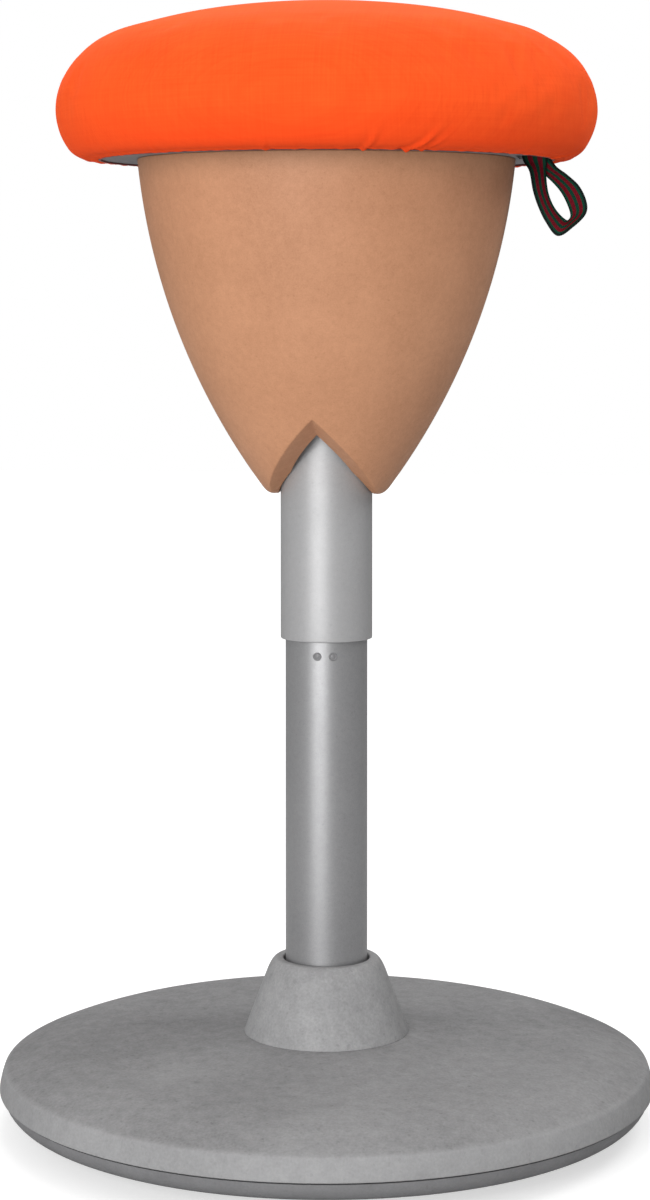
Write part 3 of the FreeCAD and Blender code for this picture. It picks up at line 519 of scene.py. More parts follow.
def cushion_cloth():
    """Smooth orange upholstery: fine plain weave, with faint slubs along both threads.

    Its colour is painted darker and redder towards the tucked edge: painted shade on the
    downward-facing tuck.
    """
    material, tree, shader = new_material(
        "orange_upholstery", 0.95, Sheen_Weight=0.3, Sheen_Roughness=0.6,
        Sheen_Tint=(0.95, 0.14, 0.03, 1), Specular_IOR_Level=0.12)
    cloth = node(tree, "ShaderNodeUVMap", uv_map="Cloth").outputs[0]
    threads = stretched(tree, cloth, (1500.0, 1500.0, 1.0))
    weave = node(tree, "ShaderNodeGroup", {"Threads": threads}, node_tree=WEAVE)
    place = object_place(tree)
    upright = plus(tree, noise(tree, stretched(tree, place, (800.0, 24.0, 24.0)), 1.0, 3.0),
                   noise(tree, stretched(tree, place, (24.0, 800.0, 24.0)), 1.0, 3.0))
    level = noise(tree, stretched(tree, place, (24.0, 24.0, 700.0)), 1.0, 3.0)
    slubs = times(tree, plus(tree, upright, level), 0.667)
    broad = noise(tree, place, 14.0, 3.0)
    uneven = plus(tree, slubs, times(tree, broad, 0.5))
    light = spread(tree, uneven, 0.95, 1.55, 0.0, 1.0)
    colour = tint(tree, light, (0.86, 0.072, 0.010, 1), (0.93, 0.100, 0.015, 1))
    # Painted shade: over the lowest 26 mm the colour darkens and reddens where the tuck faces
    # down, away from the lamps
    tucked = spread(tree, apart(tree, place)[2], COVER_EDGE, COVER_EDGE + 26 * MM, 0.55, 0.0)
    colour = tint(tree, tucked, colour, (0.80, 0.040, 0.005, 1))
    between_threads = times(tree, weave.outputs["Gap"], 0.2)
    colour = tint(tree, between_threads, colour, (0.66, 0.03, 0.005, 1))
    tree.links.new(colour, shader.inputs["Base Color"])
    height = plus(tree, times(tree, weave.outputs["Relief"], 0.6), times(tree, slubs, 0.5))
    bumped(tree, shader, height, 0.25, 0.10 * MM)
    return material


def webbing_cloth():
    """Ribbed tape with dark selvedges, green bands and two burgundy stripes along it."""
    material, tree, shader = new_material("striped_webbing", 0.85, Specular_IOR_Level=0.12)
    tape = node(tree, "ShaderNodeUVMap", uv_map="Cloth").outputs[0]
    frayed = noise(tree, stretched(tree, tape, (40.0, 1600.0, 1.0)), 1.0, 2.0)
    width, length, _ = apart(tree, tape)
    across = plus(tree, width, sums(tree, "MULTIPLY_ADD", frayed, 0.03, -0.015))
    ramp = node(tree, "ShaderNodeValToRGB", {0: across})
    ramp.color_ramp.interpolation = "CONSTANT"
    selvedge = (0.006, 0.012, 0.010, 1)
    green = (0.004, 0.060, 0.034, 1)
    burgundy = (0.185, 0.004, 0.014, 1)
    bands = ((0.0, selvedge), (0.08, green), (0.20, burgundy), (0.41, green), (0.59, burgundy),
             (0.80, green), (0.92, selvedge))
    stops = ramp.color_ramp.elements
    while len(stops) < len(bands):
        stops.new(0.5)
    for stop, (position, colour) in zip(stops, bands):
        stop.position = position
        stop.color = colour
    rib = sums(tree, "SINE", times(tree, length, TURN / RIB_SPACING))
    yarn = sums(tree, "SINE", times(tree, width, TURN * 26))
    worn = noise(tree, stretched(tree, tape, (30.0, 500.0, 1.0)), 1.0, 3.0)
    shade = spread(tree, plus(tree, times(tree, rib, 0.25), worn), 0.15, 0.95, 0.35, 0.0)
    colour = tint(tree, shade, ramp.outputs[0], (0.004, 0.006, 0.006, 1))
    tree.links.new(colour, shader.inputs["Base Color"])
    bumped(tree, shader, plus(tree, rib, times(tree, yarn, 0.5)), 0.4, 0.10 * MM)
    return material


def brushed_metal(name, colour, roughness):
    """Bright metal with fine upright drawn lines."""
    material, tree, shader = new_material(name, roughness, 1.0)
    place = stretched(tree, object_place(tree), (400.0, 400.0, 40.0))
    lines = noise(tree, place, 1.0, 4.0)
    dark = tuple(part * 0.8 for part in colour)
    tree.links.new(tint(tree, lines, (*dark, 1), (*colour, 1)), shader.inputs["Base Color"])
    tree.links.new(spread(tree, lines, 0.2, 0.8, roughness - 0.06, roughness + 0.08),
                   shader.inputs["Roughness"])
    bumped(tree, shader, lines, 0.1, 0.05 * MM)
    return material


def plywood():
    """Pale plywood: long grain on the faces and thin plies at the edge."""
    material, tree, shader = new_material("plywood", 0.62)
    place = object_place(tree)
    grain = noise(tree, stretched(tree, place, (12.0, 160.0, 12.0)), 1.0, 5.0)
    ply = sums(tree, "SINE", times(tree, apart(tree, place)[2], TURN / (4 * MM)))
    mix = spread(tree, sums(tree, "MULTIPLY_ADD", ply, 0.12, grain), 0.3, 0.75, 0.0, 1.0)
    tree.links.new(tint(tree, mix, (0.34, 0.22, 0.12, 1), (0.58, 0.43, 0.27, 1)),
                   shader.inputs["Base Color"])
    bumped(tree, shader, grain, 0.15, 0.1 * MM)
    return material


def side_path(inset):
    """Cushion's side from its tucked lower edge to its crown's middle, on tangent arcs.

    Along an arc of radius R the point moves by R (sin t - sin t0) outwards and by
    R (cos t - cos t0) upwards, as the slope t falls from its value at the arc's start. The
    side and the crown are then drawn in a little, as cloth pulled tight over foam, and the
    shoulder sinks by a bell e^-q of its radius.
    """
    slopes = (math.pi, SIDE_SLOPE, BOLSTER_SLOPE, CROWN_SLOPE)
    spacing = (1.2 * MM, 1.8 * MM, 2.6 * MM)
    place = np.array([HEM_START + HEM_FLAT, COVER_EDGE + inset])
    paths = [place[None]]
    arcs = (TUCK_ARC, SIDE_ARC, BOLSTER_ARC)
    for radius, start, end, step in zip(arcs, slopes, slopes[1:], spacing):
        radius = radius - inset
        slope = np.linspace(start, end, int(radius * (start - end) / step) + 2)[1:]
        arc_points = place + radius * np.stack(
            [np.sin(slope) - math.sin(start), np.cos(slope) - math.cos(start)], 1)
        paths.append(arc_points)
        place = arc_points[-1]
    crown = place[0] / math.sin(CROWN_SLOPE)
    slope = np.linspace(CROWN_SLOPE, 0, 34)[1:]
    top = place[1] + crown * (1 - math.cos(CROWN_SLOPE))
    paths.append(np.stack([crown * np.sin(slope), top - crown * (1 - np.cos(slope))], 1))
    path = np.vstack(paths)
    start = path[0].copy()
    travel = np.concatenate([[0], np.cumsum(np.hypot(*np.diff(path, axis=0).T))])
    share = np.clip(travel / SLACK_REACH, 0, 1)
    path[:, 0] *= 1 - SIDE_SLACK * share
    path[:, 1] = start[1] + (path[:, 1] - start[1]) * (1 - CROWN_SLACK)
    q = ((path[:, 0] - SHOULDER_RADIUS) / SHOULDER_SPREAD) ** 2
    path[:, 1] -= SHOULDER_DROP * np.exp(-q) * share
    return path


def cushion_outline(inset, turned_in):
    """Whole outline of the cushion: its side, and the hollow underneath that holds the board.

    With turned_in the cloth goes on under the rim of the underside plate. The second and third
    results are how many points belong to the hollow, and to the flat between it and the side.
    """
    gap = BOARD_GAP
    hollow = [(0, BOARD_TOP + gap), (BOARD_RADIUS + gap, BOARD_TOP + gap),
              (BOARD_RADIUS + gap, UNDER_TOP + gap), (HEM_START, UNDER_TOP + gap)]
    tuck = (HEM_START + HEM_FLAT, COVER_EDGE + inset)
    if turned_in:
        under = SEAT_PLANE - PLATE_GAP
        lowest = under - TURN_IN_THICKNESS
        hollow += [(HEM_START, under), (TURN_IN, under), (TURN_IN, lowest)]
        flat = np.vstack([line(hollow[-1], (HEM_START, lowest), 1.3 * MM)[:-1],
                          line((HEM_START, lowest), tuck, 1 * MM)[:-1]])
    else:
        hollow += [(HEM_START, COVER_EDGE + inset)]
        flat = line(hollow[-1], tuck, 1.3 * MM)[:-1]
    inner = np.vstack([line(a, b, 12 * MM)[:-1] for a, b in zip(hollow, hollow[1:])])
    return np.vstack([inner, flat, side_path(inset)]), len(inner), len(flat)


def filled_cover():
    """The cushion's cover blown up by cloth simulation from a slightly smaller shape.

    The hollow underneath is pinned, and no point moves further than the furthest move.
    """
    pad = turned("cushion_start", cushion_outline(START_INSET, False)[0], 160)
    remesh = pad.modifiers.new("Remesh", "REMESH")
    remesh.mode = "VOXEL"
    remesh.voxel_size = VOXEL
    depsgraph = bpy.context.evaluated_depsgraph_get()
    mesh = bpy.data.meshes.new_from_object(pad.evaluated_get(depsgraph))
    bpy.data.objects.remove(pad)
    pad = added("cushion_filled", mesh)
    rest = vertices_of(mesh)
    inside = np.hypot(rest[:, 0], rest[:, 1]) < HEM_START + HEM_FLAT
    held = inside & (rest[:, 2] < BOARD_TOP + 4 * MM)
    pins = pad.vertex_groups.new(name="held")
    pins.add(np.flatnonzero(held).tolist(), 1.0, "REPLACE")
    cloth = pad.modifiers.new("Cloth", "CLOTH")
    for key, value in (("vertex_group_mass", "held"), ("quality", 6), ("mass", 0.3),
                       ("tension_stiffness", 12), ("compression_stiffness", 12),
                       ("use_pressure", True), ("uniform_pressure_force", 4)):
        setattr(cloth.settings, key, value)
    cloth.settings.effector_weights.gravity = 0
    cloth.collision_settings.use_collision = False
    scene = bpy.context.scene
    for step in range(SIMULATED_FRAMES):
        scene.frame_set(step + 1)
    blown = pad.evaluated_get(bpy.context.evaluated_depsgraph_get())
    move = vertices_of(blown.to_mesh()) - rest
    blown.to_mesh_clear()
    reach = np.linalg.norm(move, axis=1, keepdims=True)
    move *= np.minimum(1, FURTHEST_MOVE / np.maximum(reach, 1e-9))
    pad.modifiers.remove(cloth)
    mesh.vertices.foreach_set("co", (rest + move).ravel())
    smooth = pad.modifiers.new("Smooth", "SUBSURF")
    smooth.levels = smooth.render_levels = 1
    scene.frame_set(1)
    return pad


# Gathers of the cover's lower edge: angle round the seat from +X in degrees, how far up the
# side they reach, their half width and their depth in millimetres, and their slant
GATHERS = (
    (-96.5, 21, 2.8, 0.7, 0.20), (-74.1, 24, 2.8, 1.3, 0.30), (-64.0, 27, 3.2, 2.0, 0.72),
    (-60.2, 20, 2.4, 0.9, 0.60), (-124.0, 18, 2.6, 0.7, 0.2), (-33.0, 17, 2.4, 0.7, 0.1),
    (-8.0, 21, 2.6, 1.0, 0.3), (14.0, 18, 2.4, 0.8, -0.2), (38.0, 23, 2.8, 1.2, 0.3),
    (63.0, 19, 2.4, 0.8, 0.0), (88.0, 22, 2.7, 1.1, -0.35), (109.0, 17, 2.4, 0.7, 0.2),
    (131.0, 21, 2.6, 1.0, 0.1), (154.0, 19, 2.5, 0.9, -0.3), (178.0, 22, 2.7, 1.1, 0.25),
    (-158.0, 18, 2.4, 0.7, -0.1), (-141.0, 20, 2.5, 0.8, 0.3),
)


def gather_depth(travel, angle):
    """How far the gathers push the cover in or out, at a travel up the side and an angle.

    A gather is the curve (1 - 2q) e^-q with q = (distance / half width)^2, which dips in its
    middle and stands up at its sides. It is full at the hem and fades out as 1 - 3t^2 + 2t^3
    towards its upper end.
    """
    total = np.zeros(travel.shape)
    for degrees, height, half_width, depth, slant in GATHERS:
        turn = (angle - math.radians(degrees) + math.pi) % TURN - math.pi
        across = turn * GATHER_RADIUS - slant * travel
        q = (across / (half_width * MM)) ** 2
        t = np.clip(travel / (height * MM), 0, 1)
        fade = 1 - 3 * t ** 2 + 2 * t ** 3
        total -= depth * MM * (1 - 2 * q) * np.exp(-q) * fade * GATHER_SHARE
    return total


def waves(angle, parts):
    """Sum of sines round the seat: h sin(n angle + phase) for each part's n, h and phase."""
    return sum(height * np.sin(count * angle + phase) for count, height, phase in parts)


def hem_ripple(travel, angle):
    """Small gathers along the elastic hem: waves round the seat that fade as e^-q up the side."""
    return HEM_WAVE_DEPTH * waves(angle, HEM_WAVES) * np.exp(-(travel / HEM_WAVE_REACH) ** 2)


def seat_cushion():
    """Round cushion: the outline carried round the axis, settled on the blown-up cover.

    Gathers and ripples are then added along the surface's own normal.
    """
    outline, hollow_rows, flat_rows = cushion_outline(0.0, True)
    outline = outline[::-1]
    around = 640
    angle = full_turn(around)
    rings = carried_round(outline[1:-1, :1], outline[1:-1, 1:], angle)
    travel = np.cumsum(np.hypot(*np.diff(outline, axis=0).T))[:-1]
    full = np.append(angle, TURN)
    cloth = np.stack([travel[:, None] * np.cos(full), travel[:, None] * np.sin(full)], -1)
    seat = surface("seat_cushion", rings, (0, 0, outline[0, 1]), (0, 0, outline[-1, 1]), uv=cloth)
    hem_row = len(rings) - hollow_rows
    tuck_travel = travel[hem_row - flat_rows]
    target = filled_cover()
    settle_on(seat, target, tuck_travel - travel, around)
    bpy.data.objects.remove(target)
    crease_hem(seat, hem_row, around, tuck_travel - travel)
    seat.data.materials.append(cushion_cloth())
    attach(seat, "lift")
    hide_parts("seat_foam", "seat_cover")


def vertices_of(mesh, key="co"):
    """The vertices' places, or their normals, as rows of three."""
    values = np.empty(len(mesh.vertices) * 3)
    mesh.vertices.foreach_get(key, values)
    return values.reshape(-1, 3)


def settle_on(seat, target, up_side, around):
    """Moves the seat to the nearest place on the target, and not at all at the hem.

    Most of each ring's average move outwards and upwards is taken off again, so that the
    outline stays the drawn one and the cloth's own unevenness is left. The share of the move
    is 3t^2 - 2t^3 for the way up the side over its reach.
    """
    wrap = seat.modifiers.new("Settle", "SHRINKWRAP")
    wrap.target = target
    wrap.wrap_method = "NEAREST_SURFACEPOINT"
    depsgraph = bpy.context.evaluated_depsgraph_get()
    settled = bpy.data.meshes.new_from_object(seat.evaluated_get(depsgraph))
    moved = vertices_of(settled)
    bpy.data.meshes.remove(settled)
    seat.modifiers.remove(wrap)
    points = vertices_of(seat.data)
    ring_count = len(up_side)
    angle = full_turn(around)
    outward = np.stack([np.cos(angle), np.sin(angle)], 1)
    move = (moved - points)[:-2].reshape(ring_count, around, 3)
    mean_out = (move[..., :2] * outward).sum(-1).mean(1)
    mean_up = move[..., 2].mean(1)
    move[..., :2] -= KEPT_OUTLINE * mean_out[:, None, None] * outward
    move[..., 2] -= KEPT_OUTLINE * mean_up[:, None]
    t = np.clip(up_side / SETTLE_REACH, 0, 1)
    share = np.repeat(3 * t ** 2 - 2 * t ** 3, around)[:, None]
    points[:-2] += move.reshape(-1, 3) * share
    points[-2, 2] += (1 - KEPT_OUTLINE) * mean_up[0]
    seat.data.vertices.foreach_set("co", points.ravel())
    seat.data.update()


def crease_hem(seat, hem_row, around, up_side):
    """Adds the gathers and the hem's ripple to the rows above the hem."""
    points = vertices_of(seat.data)
    rows = slice(0, hem_row * around)
    up_side = np.repeat(np.maximum(up_side[:hem_row], 0), around)
    angle = np.arctan2(points[rows, 1], points[rows, 0])
    push = gather_depth(up_side, angle) + hem_ripple(up_side, angle)
    points[rows] += vertices_of(seat.data, "normal")[rows] * push[:, None]
    seat.data.vertices.foreach_set("co", points.ravel())
    seat.data.update()


def hem_binding():
    """Thin folded binding under the cover's edge, rippled like the hem that it finishes."""
    inner = TURN_IN - 0.9 * MM
    outer = TURN_IN + 0.5 * MM
    top = SEAT_PLANE - PLATE_GAP
    bottom = top - 1.0 * MM
    corners = [(inner, bottom), (outer, bottom), (outer, top), (inner, top)]
    outline = rounded_outline(corners, (0.4,) * 4, (0.2,) * 4)
    angle = full_turn(720)
    ripple = BINDING_WAVE_DEPTH * waves(angle, BINDING_WAVES)
    rings = carried_round(outline[:, :1] + ripple, outline[:, 1:], angle)
    piece = surface("hem_binding", rings, closed=True)
    material, tree, shader = new_material("red_binding", 0.8, Sheen_Weight=0.1)
    place = object_place(tree)
    twill = noise(tree, place, 700.0, 3.0)
    tree.links.new(tint(tree, twill, (0.11, 0.010, 0.008, 1), (0.26, 0.030, 0.018, 1)),
                   shader.inputs["Base Color"])
    bumped(tree, shader, twill, 0.3, 0.15 * MM)
    piece.data.materials.append(material)
    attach(piece, "lift")
    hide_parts("cover_binding")


def wall_radius(height, start, end, radius):
    """Radius of the body's wall at a height, on the arc from start to end.

    It is c + root(R^2 - dz^2), for the height dz over the arc's centre at radius c.
    """
    centre, _ = arc_centre(np.array(start), np.array(end), radius)
    return centre[0] + np.sqrt(radius * radius - (height - centre[1]) ** 2)


def outer_wall(height):
    foot = (FOOT_RADIUS, BODY_BOTTOM + FOOT_RISE)
    return wall_radius(height, foot, (BODY_RADIUS, SEAT_PLANE), BODY_ARC)


def inner_wall(height):
    start = (BODY_BORE, BODY_BOTTOM + BORE_LENGTH)
    end = (BODY_RADIUS - BODY_WALL, SEAT_PLANE)
    curve = wall_radius(np.maximum(height, start[1]), start, end, BODY_ARC - BODY_WALL)
    return np.where(height < start[1], BODY_BORE, curve)


def cut_height(radius, rise, outward):
    """Height of the body's lower edge at a radius: the higher of the notch's roof and the foot.

    They pass into each other as (a + b + root((a - b)^2 + e^2)) / 2, less 0.12 e. Rise is the
    roof's height at the axis, and outward how fast it rises with the radius at each angle.
    """
    roof = rise + outward * radius
    foot = BODY_BOTTOM + 0.0 * radius
    ease = NOTCH_EASE
    return (roof + foot + np.sqrt((roof - foot) ** 2 + ease * ease)) / 2 - ease * 0.12


def rounded_corner(before, corner, after, count):
    """Points on (1-t)^2 a + 2t(1-t) c + t^2 b between the places before and after a corner."""
    t = np.linspace(0, 1, count)[:, None, None]
    return (1 - t) ** 2 * before + 2 * t * (1 - t) * corner + t ** 2 * after


def tapered_body():
    """Tapered body with a roof-shaped notch to the front and to the back.

    At each angle the section runs down the outer arc to the cut, across it to the bore and
    up the inner arc. The cut's ends are where height = ridge + outward x radius meets each
    wall, found by repeated substitution. The foot's outer corner is rounded more than the
    notch's.
    """
    around = 576
    angle = full_turn(around) + math.pi / 2
    rise = BODY_BOTTOM + RIDGE_RISE
    outward = NOTCH_OUTWARD_RISE * np.abs(np.sin(angle)) - NOTCH_SIDE_FALL * np.abs(np.cos(angle))
    ends = []
    for wall in (outer_wall, inner_wall):
        height = np.full(around, BODY_BOTTOM + FOOT_RISE)
        for _ in range(40):
            height = cut_height(wall(height), rise, outward)
        ends.append(np.stack([wall(height), height], 1))
    outer_end, inner_end = ends
    on_foot = np.clip((BODY_BOTTOM + FOOT_BAND - outer_end[:, 1]) / FOOT_BAND, 0, 1)
    soft = ((EDGE_ROUND + FOOT_ROUND * on_foot) * MM)[:, None]
    way_up = np.stack([outer_wall(outer_end[:, 1] + soft[:, 0]), outer_end[:, 1] + soft[:, 0]], 1)
    across = inner_end - outer_end
    across /= np.linalg.norm(across, axis=1, keepdims=True)
    firm = 0.9 * MM
    way_in = outer_end + across * soft * 0.8
    before_bore = inner_end - across * firm
    up_bore = np.stack([inner_wall(inner_end[:, 1] + firm), inner_end[:, 1] + firm], 1)
    top = SEAT_PLANE - TOP_LIP
    down = np.linspace(0, 1, 72)[:, None] ** 0.9
    heights = top + (way_up[:, 1] - top) * down
    outside = np.stack([outer_wall(heights), heights], -1)
    up = np.linspace(0, 1, 40)[:, None]
    inner_heights = up_bore[:, 1] + (SEAT_PLANE - up_bore[:, 1]) * up
    inside = np.stack([inner_wall(inner_heights), inner_heights], -1)
    cut = way_in + (before_bore - way_in) * np.linspace(0, 1, 6)[:, None, None]
    lip = np.broadcast_to(np.array([BODY_RADIUS - 1.0 * MM, SEAT_PLANE]), (around, 2))
    edge = np.broadcast_to(np.array([BODY_RADIUS, SEAT_PLANE]), (around, 2))
    section = np.concatenate([
        inside[1:], rounded_corner(lip, edge, outside[0], 5)[:-1], outside,
        rounded_corner(way_up, outer_end, way_in, 7)[1:], cut[1:],
        rounded_corner(before_bore, inner_end, up_bore, 5)[1:-1], inside[:1]])
    rings = carried_round(section[..., 0], section[..., 1], angle)
    body = surface("tapered_body", rings[::-1], closed=True)
    body.data.materials.append(skin_material(
        "tan_shell", (0.410, 0.192, 0.098), (0.545, 0.268, 0.146), 0.60, pits=1100.0,
        blotches=16.0, relief=0.24, depth=0.18 * MM, streak=0.4, Specular_IOR_Level=0.4))
    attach(body, "lift")
    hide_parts("body_cone")


def tube_outline(radius, wall, bottom, top, reaches):
    """Section of a tube's wall, rounded at its outer top corner first and its outer foot last."""
    bore = radius - wall
    corners = [(radius, bottom), (radius, top), (bore, top), (bore, bottom)]
    return rounded_outline(corners, (12, 4, 30, 4), reaches)


def upper_tube(finish):
    """Cover tube: a round tube whose lower rim is rolled over."""
    outline = tube_outline(SLEEVE_RADIUS, SLEEVE_WALL, SLEEVE_BOTTOM, SLEEVE_TOP,
                           (0.3, 0.3, 0.5, 1.1))
    tube = turned("upper_tube", outline, 192)
    tube.data.materials.append(finish)
    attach(tube, "lift")
    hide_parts("cover_tube")


def lower_tube(finish):
    """Stand tube: a plain round tube."""
    outline = tube_outline(TUBE_RADIUS, TUBE_WALL, TUBE_BOTTOM, TUBE_TOP, (0.4, 0.3, 0.3, 0.3))
    tube = turned("lower_tube", outline, 192)
    tube.data.materials.append(finish)
    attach(tube, "base")
    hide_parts("stand_tube")


def tube_rivet(name, degrees, finish):
    """Flush rivet: a shallow dome in a rolled rim, laid on the tube's round face.

    At distance d from its middle it stands a dome h (1 - (d / r)^2) and a rim of the form e^-q
    over the tube, with a fine groove between them.
    """
    radius = 2.55 * MM
    base = 0.05 * MM
    dome = 0.45 * MM
    distance = np.array([0.15, 0.3, 0.45, 0.58, 0.66, 0.74, 0.82, 0.9, 0.97, 1.02]) * radius
    rim_height = 0.55 * MM * np.exp(-((distance - 0.84 * radius) / (0.32 * MM)) ** 2)
    proud = dome * np.clip(1 - (distance / radius / 0.62) ** 2, 0, 1) + base + rim_height
    turn = full_turn(40)
    middle = math.radians(degrees)
    face = middle + distance[:, None] * np.cos(turn) / TUBE_RADIUS
    upwards = distance[:, None] * np.sin(turn)
    out = TUBE_RADIUS + proud[:, None]
    sunk = TUBE_RADIUS - 0.8 * MM
    rings = np.stack([out * np.sin(face), -out * np.cos(face), RIVET_HEIGHT + upwards], -1)
    rim = np.stack([sunk * np.sin(face[-1]), -sunk * np.cos(face[-1]), rings[-1, :, 2]], -1)[None]
    first, last = [(reach * math.sin(middle), -reach * math.cos(middle), RIVET_HEIGHT)
                   for reach in (TUBE_RADIUS + 0.5 * MM, sunk)]
    rivet = surface(name, np.concatenate([rings, rim]), first, last)
    rivet.data.materials.append(finish)
    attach(rivet, "base")
    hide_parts("tube_rivets")


def column_collar(finish):
    """Collar: a cone whose top turns over in one round lip, down to the bore round the tube."""
    bore = TUBE_RADIUS + 1.3 * MM
    corner = TUBE_RADIUS + 2 * MM + 6.3 * MM
    corners = [(COLLAR_FOOT - 4 * MM, COVER_TOP), (COLLAR_FOOT, COVER_TOP), (corner, COLLAR_TOP),
               (bore, COLLAR_TOP), (bore, COLLAR_TOP - 6.3 * MM),
               (corner - 2 * MM, COLLAR_TOP - 10.3 * MM)]
    outline = rounded_outline(corners, (1.5, 3, 2, 2, 4, 4), (0.35, 9.5, 1.2, 0.5, 0.8, 0.4))
    collar = turned("column_collar", outline, 224)
    collar.data.materials.append(finish)
    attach(collar, "base")
    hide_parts("base_collar")


def disc_cover(finish):
    """Base cover: a shallow cone, a round shoulder, a soft crease and a bulging rim."""
    flat = COLLAR_FOOT + 2.5 * MM
    shoulder = (HEM_RADIUS - 39.6 * MM, COVER_TOP - 5.7 * MM)
    crease = (HEM_RADIUS - 3.3 * MM, HEM_BOTTOM + CREASE_HEIGHT)
    hem = (HEM_RADIUS, HEM_BOTTOM)
    bore = COLLAR_FOOT - 8 * MM
    inner = (HEM_RADIUS - 9.6 * MM, HEM_BOTTOM)
    wall = DISC_WALL
    outline = chain(
        line(inner, hem, 2 * MM), 0.9 * MM,
        arc(hem, crease, 50 * MM, 1.2 * MM), 1.3 * MM,
        arc(crease, shoulder, 150 * MM, 2.5 * MM), 12 * MM,
        line(shoulder, (flat, COVER_TOP), 5 * MM), 5 * MM,
        line((flat, COVER_TOP), (bore, COVER_TOP)), 0.6 * MM,
        line((bore, COVER_TOP), (bore, COVER_TOP - wall)), 0.4 * MM,
        line((bore, COVER_TOP - wall), (shoulder[0], shoulder[1] - wall), 20 * MM), 2 * MM,
        line((shoulder[0], shoulder[1] - wall), (inner[0], HEM_BOTTOM + wall), 12 * MM), 1 * MM,
        line((inner[0], HEM_BOTTOM + wall), inner, 2 * MM), 0.4 * MM)
    cover = turned("disc_cover", outline, 384)
    cover.data.materials.append(finish)
    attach(cover, "base")
    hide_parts("base_cover")


def smooth_through(points, samples):
    """Curve through all the points.

    From b to c, with a before and d after them, it is the cubic
    0.5 (2b + (c-a)t + (2a-5b+4c-d)t^2 + (3b-a-3c+d)t^3).
    """
    padded = np.vstack([2 * points[:1] - points[1:2], points, 2 * points[-1:] - points[-2:-1]])
    position = np.linspace(0, len(points) - 1, samples)
    index = np.minimum(position.astype(int), len(points) - 2)
    t = (position - index)[:, None]
    a, b, c, d = (padded[index + step] for step in range(4))
    return 0.5 * (2 * b + (c - a) * t + (2 * a - 5 * b + 4 * c - d) * t ** 2
                  + (3 * b - a - 3 * c + d) * t ** 3)


def webbing_loop():
    """Pull loop: a tape's section carried along its hanging middle line.

    The section is an outline of half width w and half thickness h: x = w sgn(c) |c|^0.35 and
    y = h sgn(s) |s|^0.6, for the cosine c and sine s of a full turn. Its edges swell by e^-q,
    and cross ribs swell the thickness by a sine along the tape.
    """
    stations = np.array(LOOP_STATIONS) * MM + np.array([LOOP_REACH, 0, SEAT_PLANE])
    outer, inner = stations[:, 0], stations[:, 1]
    samples = 640
    middle = smooth_through((outer + inner) / 2, samples)
    inward = inner - outer
    across = smooth_through(inward / np.linalg.norm(inward, axis=1, keepdims=True), samples)
    across /= np.linalg.norm(across, axis=1, keepdims=True)
    along = np.gradient(middle, axis=0)
    normal = np.cross(across, along)
    normal /= np.linalg.norm(normal, axis=1, keepdims=True)
    steps = np.linalg.norm(np.diff(middle, axis=0), axis=1)
    travel = np.concatenate([[0], np.cumsum(steps)])
    around = 44
    turn = np.linspace(0, TURN, around + 1)
    cosine, sine = np.cos(turn), np.sin(turn)
    wide = np.sign(cosine) * np.abs(cosine) ** 0.35 * WEBBING_WIDTH / 2
    selvedge = 1 + 0.25 * np.exp(-((np.abs(wide) - 0.46 * WEBBING_WIDTH) / (0.7 * MM)) ** 2)
    thick = np.sign(sine) * np.abs(sine) ** 0.6 * (WEBBING_THICKNESS / 2 - 0.12 * MM) * selvedge
    rib = 1 + 0.09 * np.sin(travel * TURN / RIB_SPACING)
    tape = (middle[:, None] + across[:, None] * wide[None, :, None]
            + normal[:, None] * (thick[None, :, None] * rib[:, None, None]))
    uv = np.stack([np.broadcast_to(0.5 + wide / WEBBING_WIDTH, (samples, around + 1)),
                   np.broadcast_to(travel[:, None], (samples, around + 1))], -1)
    loop = surface("webbing_loop", tape[:, :-1], middle[0], middle[-1], uv=uv)
    loop.data.materials.append(webbing_cloth())
    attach(loop, "lever")
    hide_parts("pull_loop")


def finish_frame_nodes(grey_plate, grey_moulding):
    """Gives each CAD node that stays its own finish."""
    by_slot = {
        "sole_rubber": skin_material("sole_rubber", (0.16, 0.16, 0.165), (0.22, 0.22, 0.225), 0.82,
                                     pits=800.0, blotches=26.0, relief=0.35, depth=0.3 * MM),
        "plate_steel": skin_material("dark_coat", (0.030, 0.030, 0.032), (0.050, 0.050, 0.053),
                                     0.5, pits=1400.0, relief=0.15, depth=0.1 * MM),
        "bush_plastic": skin_material("bush_plastic", (0.020, 0.020, 0.021),
                                      (0.034, 0.034, 0.036), 0.55),
        "bump_rubber": skin_material("bump_rubber", (0.010, 0.010, 0.010),
                                     (0.020, 0.020, 0.020), 0.85),
        "black_steel": skin_material("black_coat", (0.010, 0.010, 0.011), (0.020, 0.020, 0.021),
                                     0.35, pits=1600.0, relief=0.1, depth=0.06 * MM),
        "zinc_steel": brushed_metal("zinc_steel", (0.62, 0.63, 0.64), 0.38),
        "bearing_steel": brushed_metal("bearing_steel", (0.58, 0.59, 0.61), 0.28),
        "rod_chrome": brushed_metal("rod_chrome", (0.82, 0.83, 0.85), 0.12),
        "board_wood": plywood(), "grey_plastic": grey_moulding, "grey_steel": grey_plate}
    slots = {part["node"]: part["material_slot"] for part in frame["record"]["subparts"]}
    for name, piece in frame["nodes"].items():
        finish = by_slot.get(slots[name])
        if finish is None:
            continue
        if not piece.material_slots:
            piece.data.materials.append(finish)
        for place in piece.material_slots:
            place.material = finish
    frame["nodes"]["under_plate"].material_slots[0].material = grey_plate


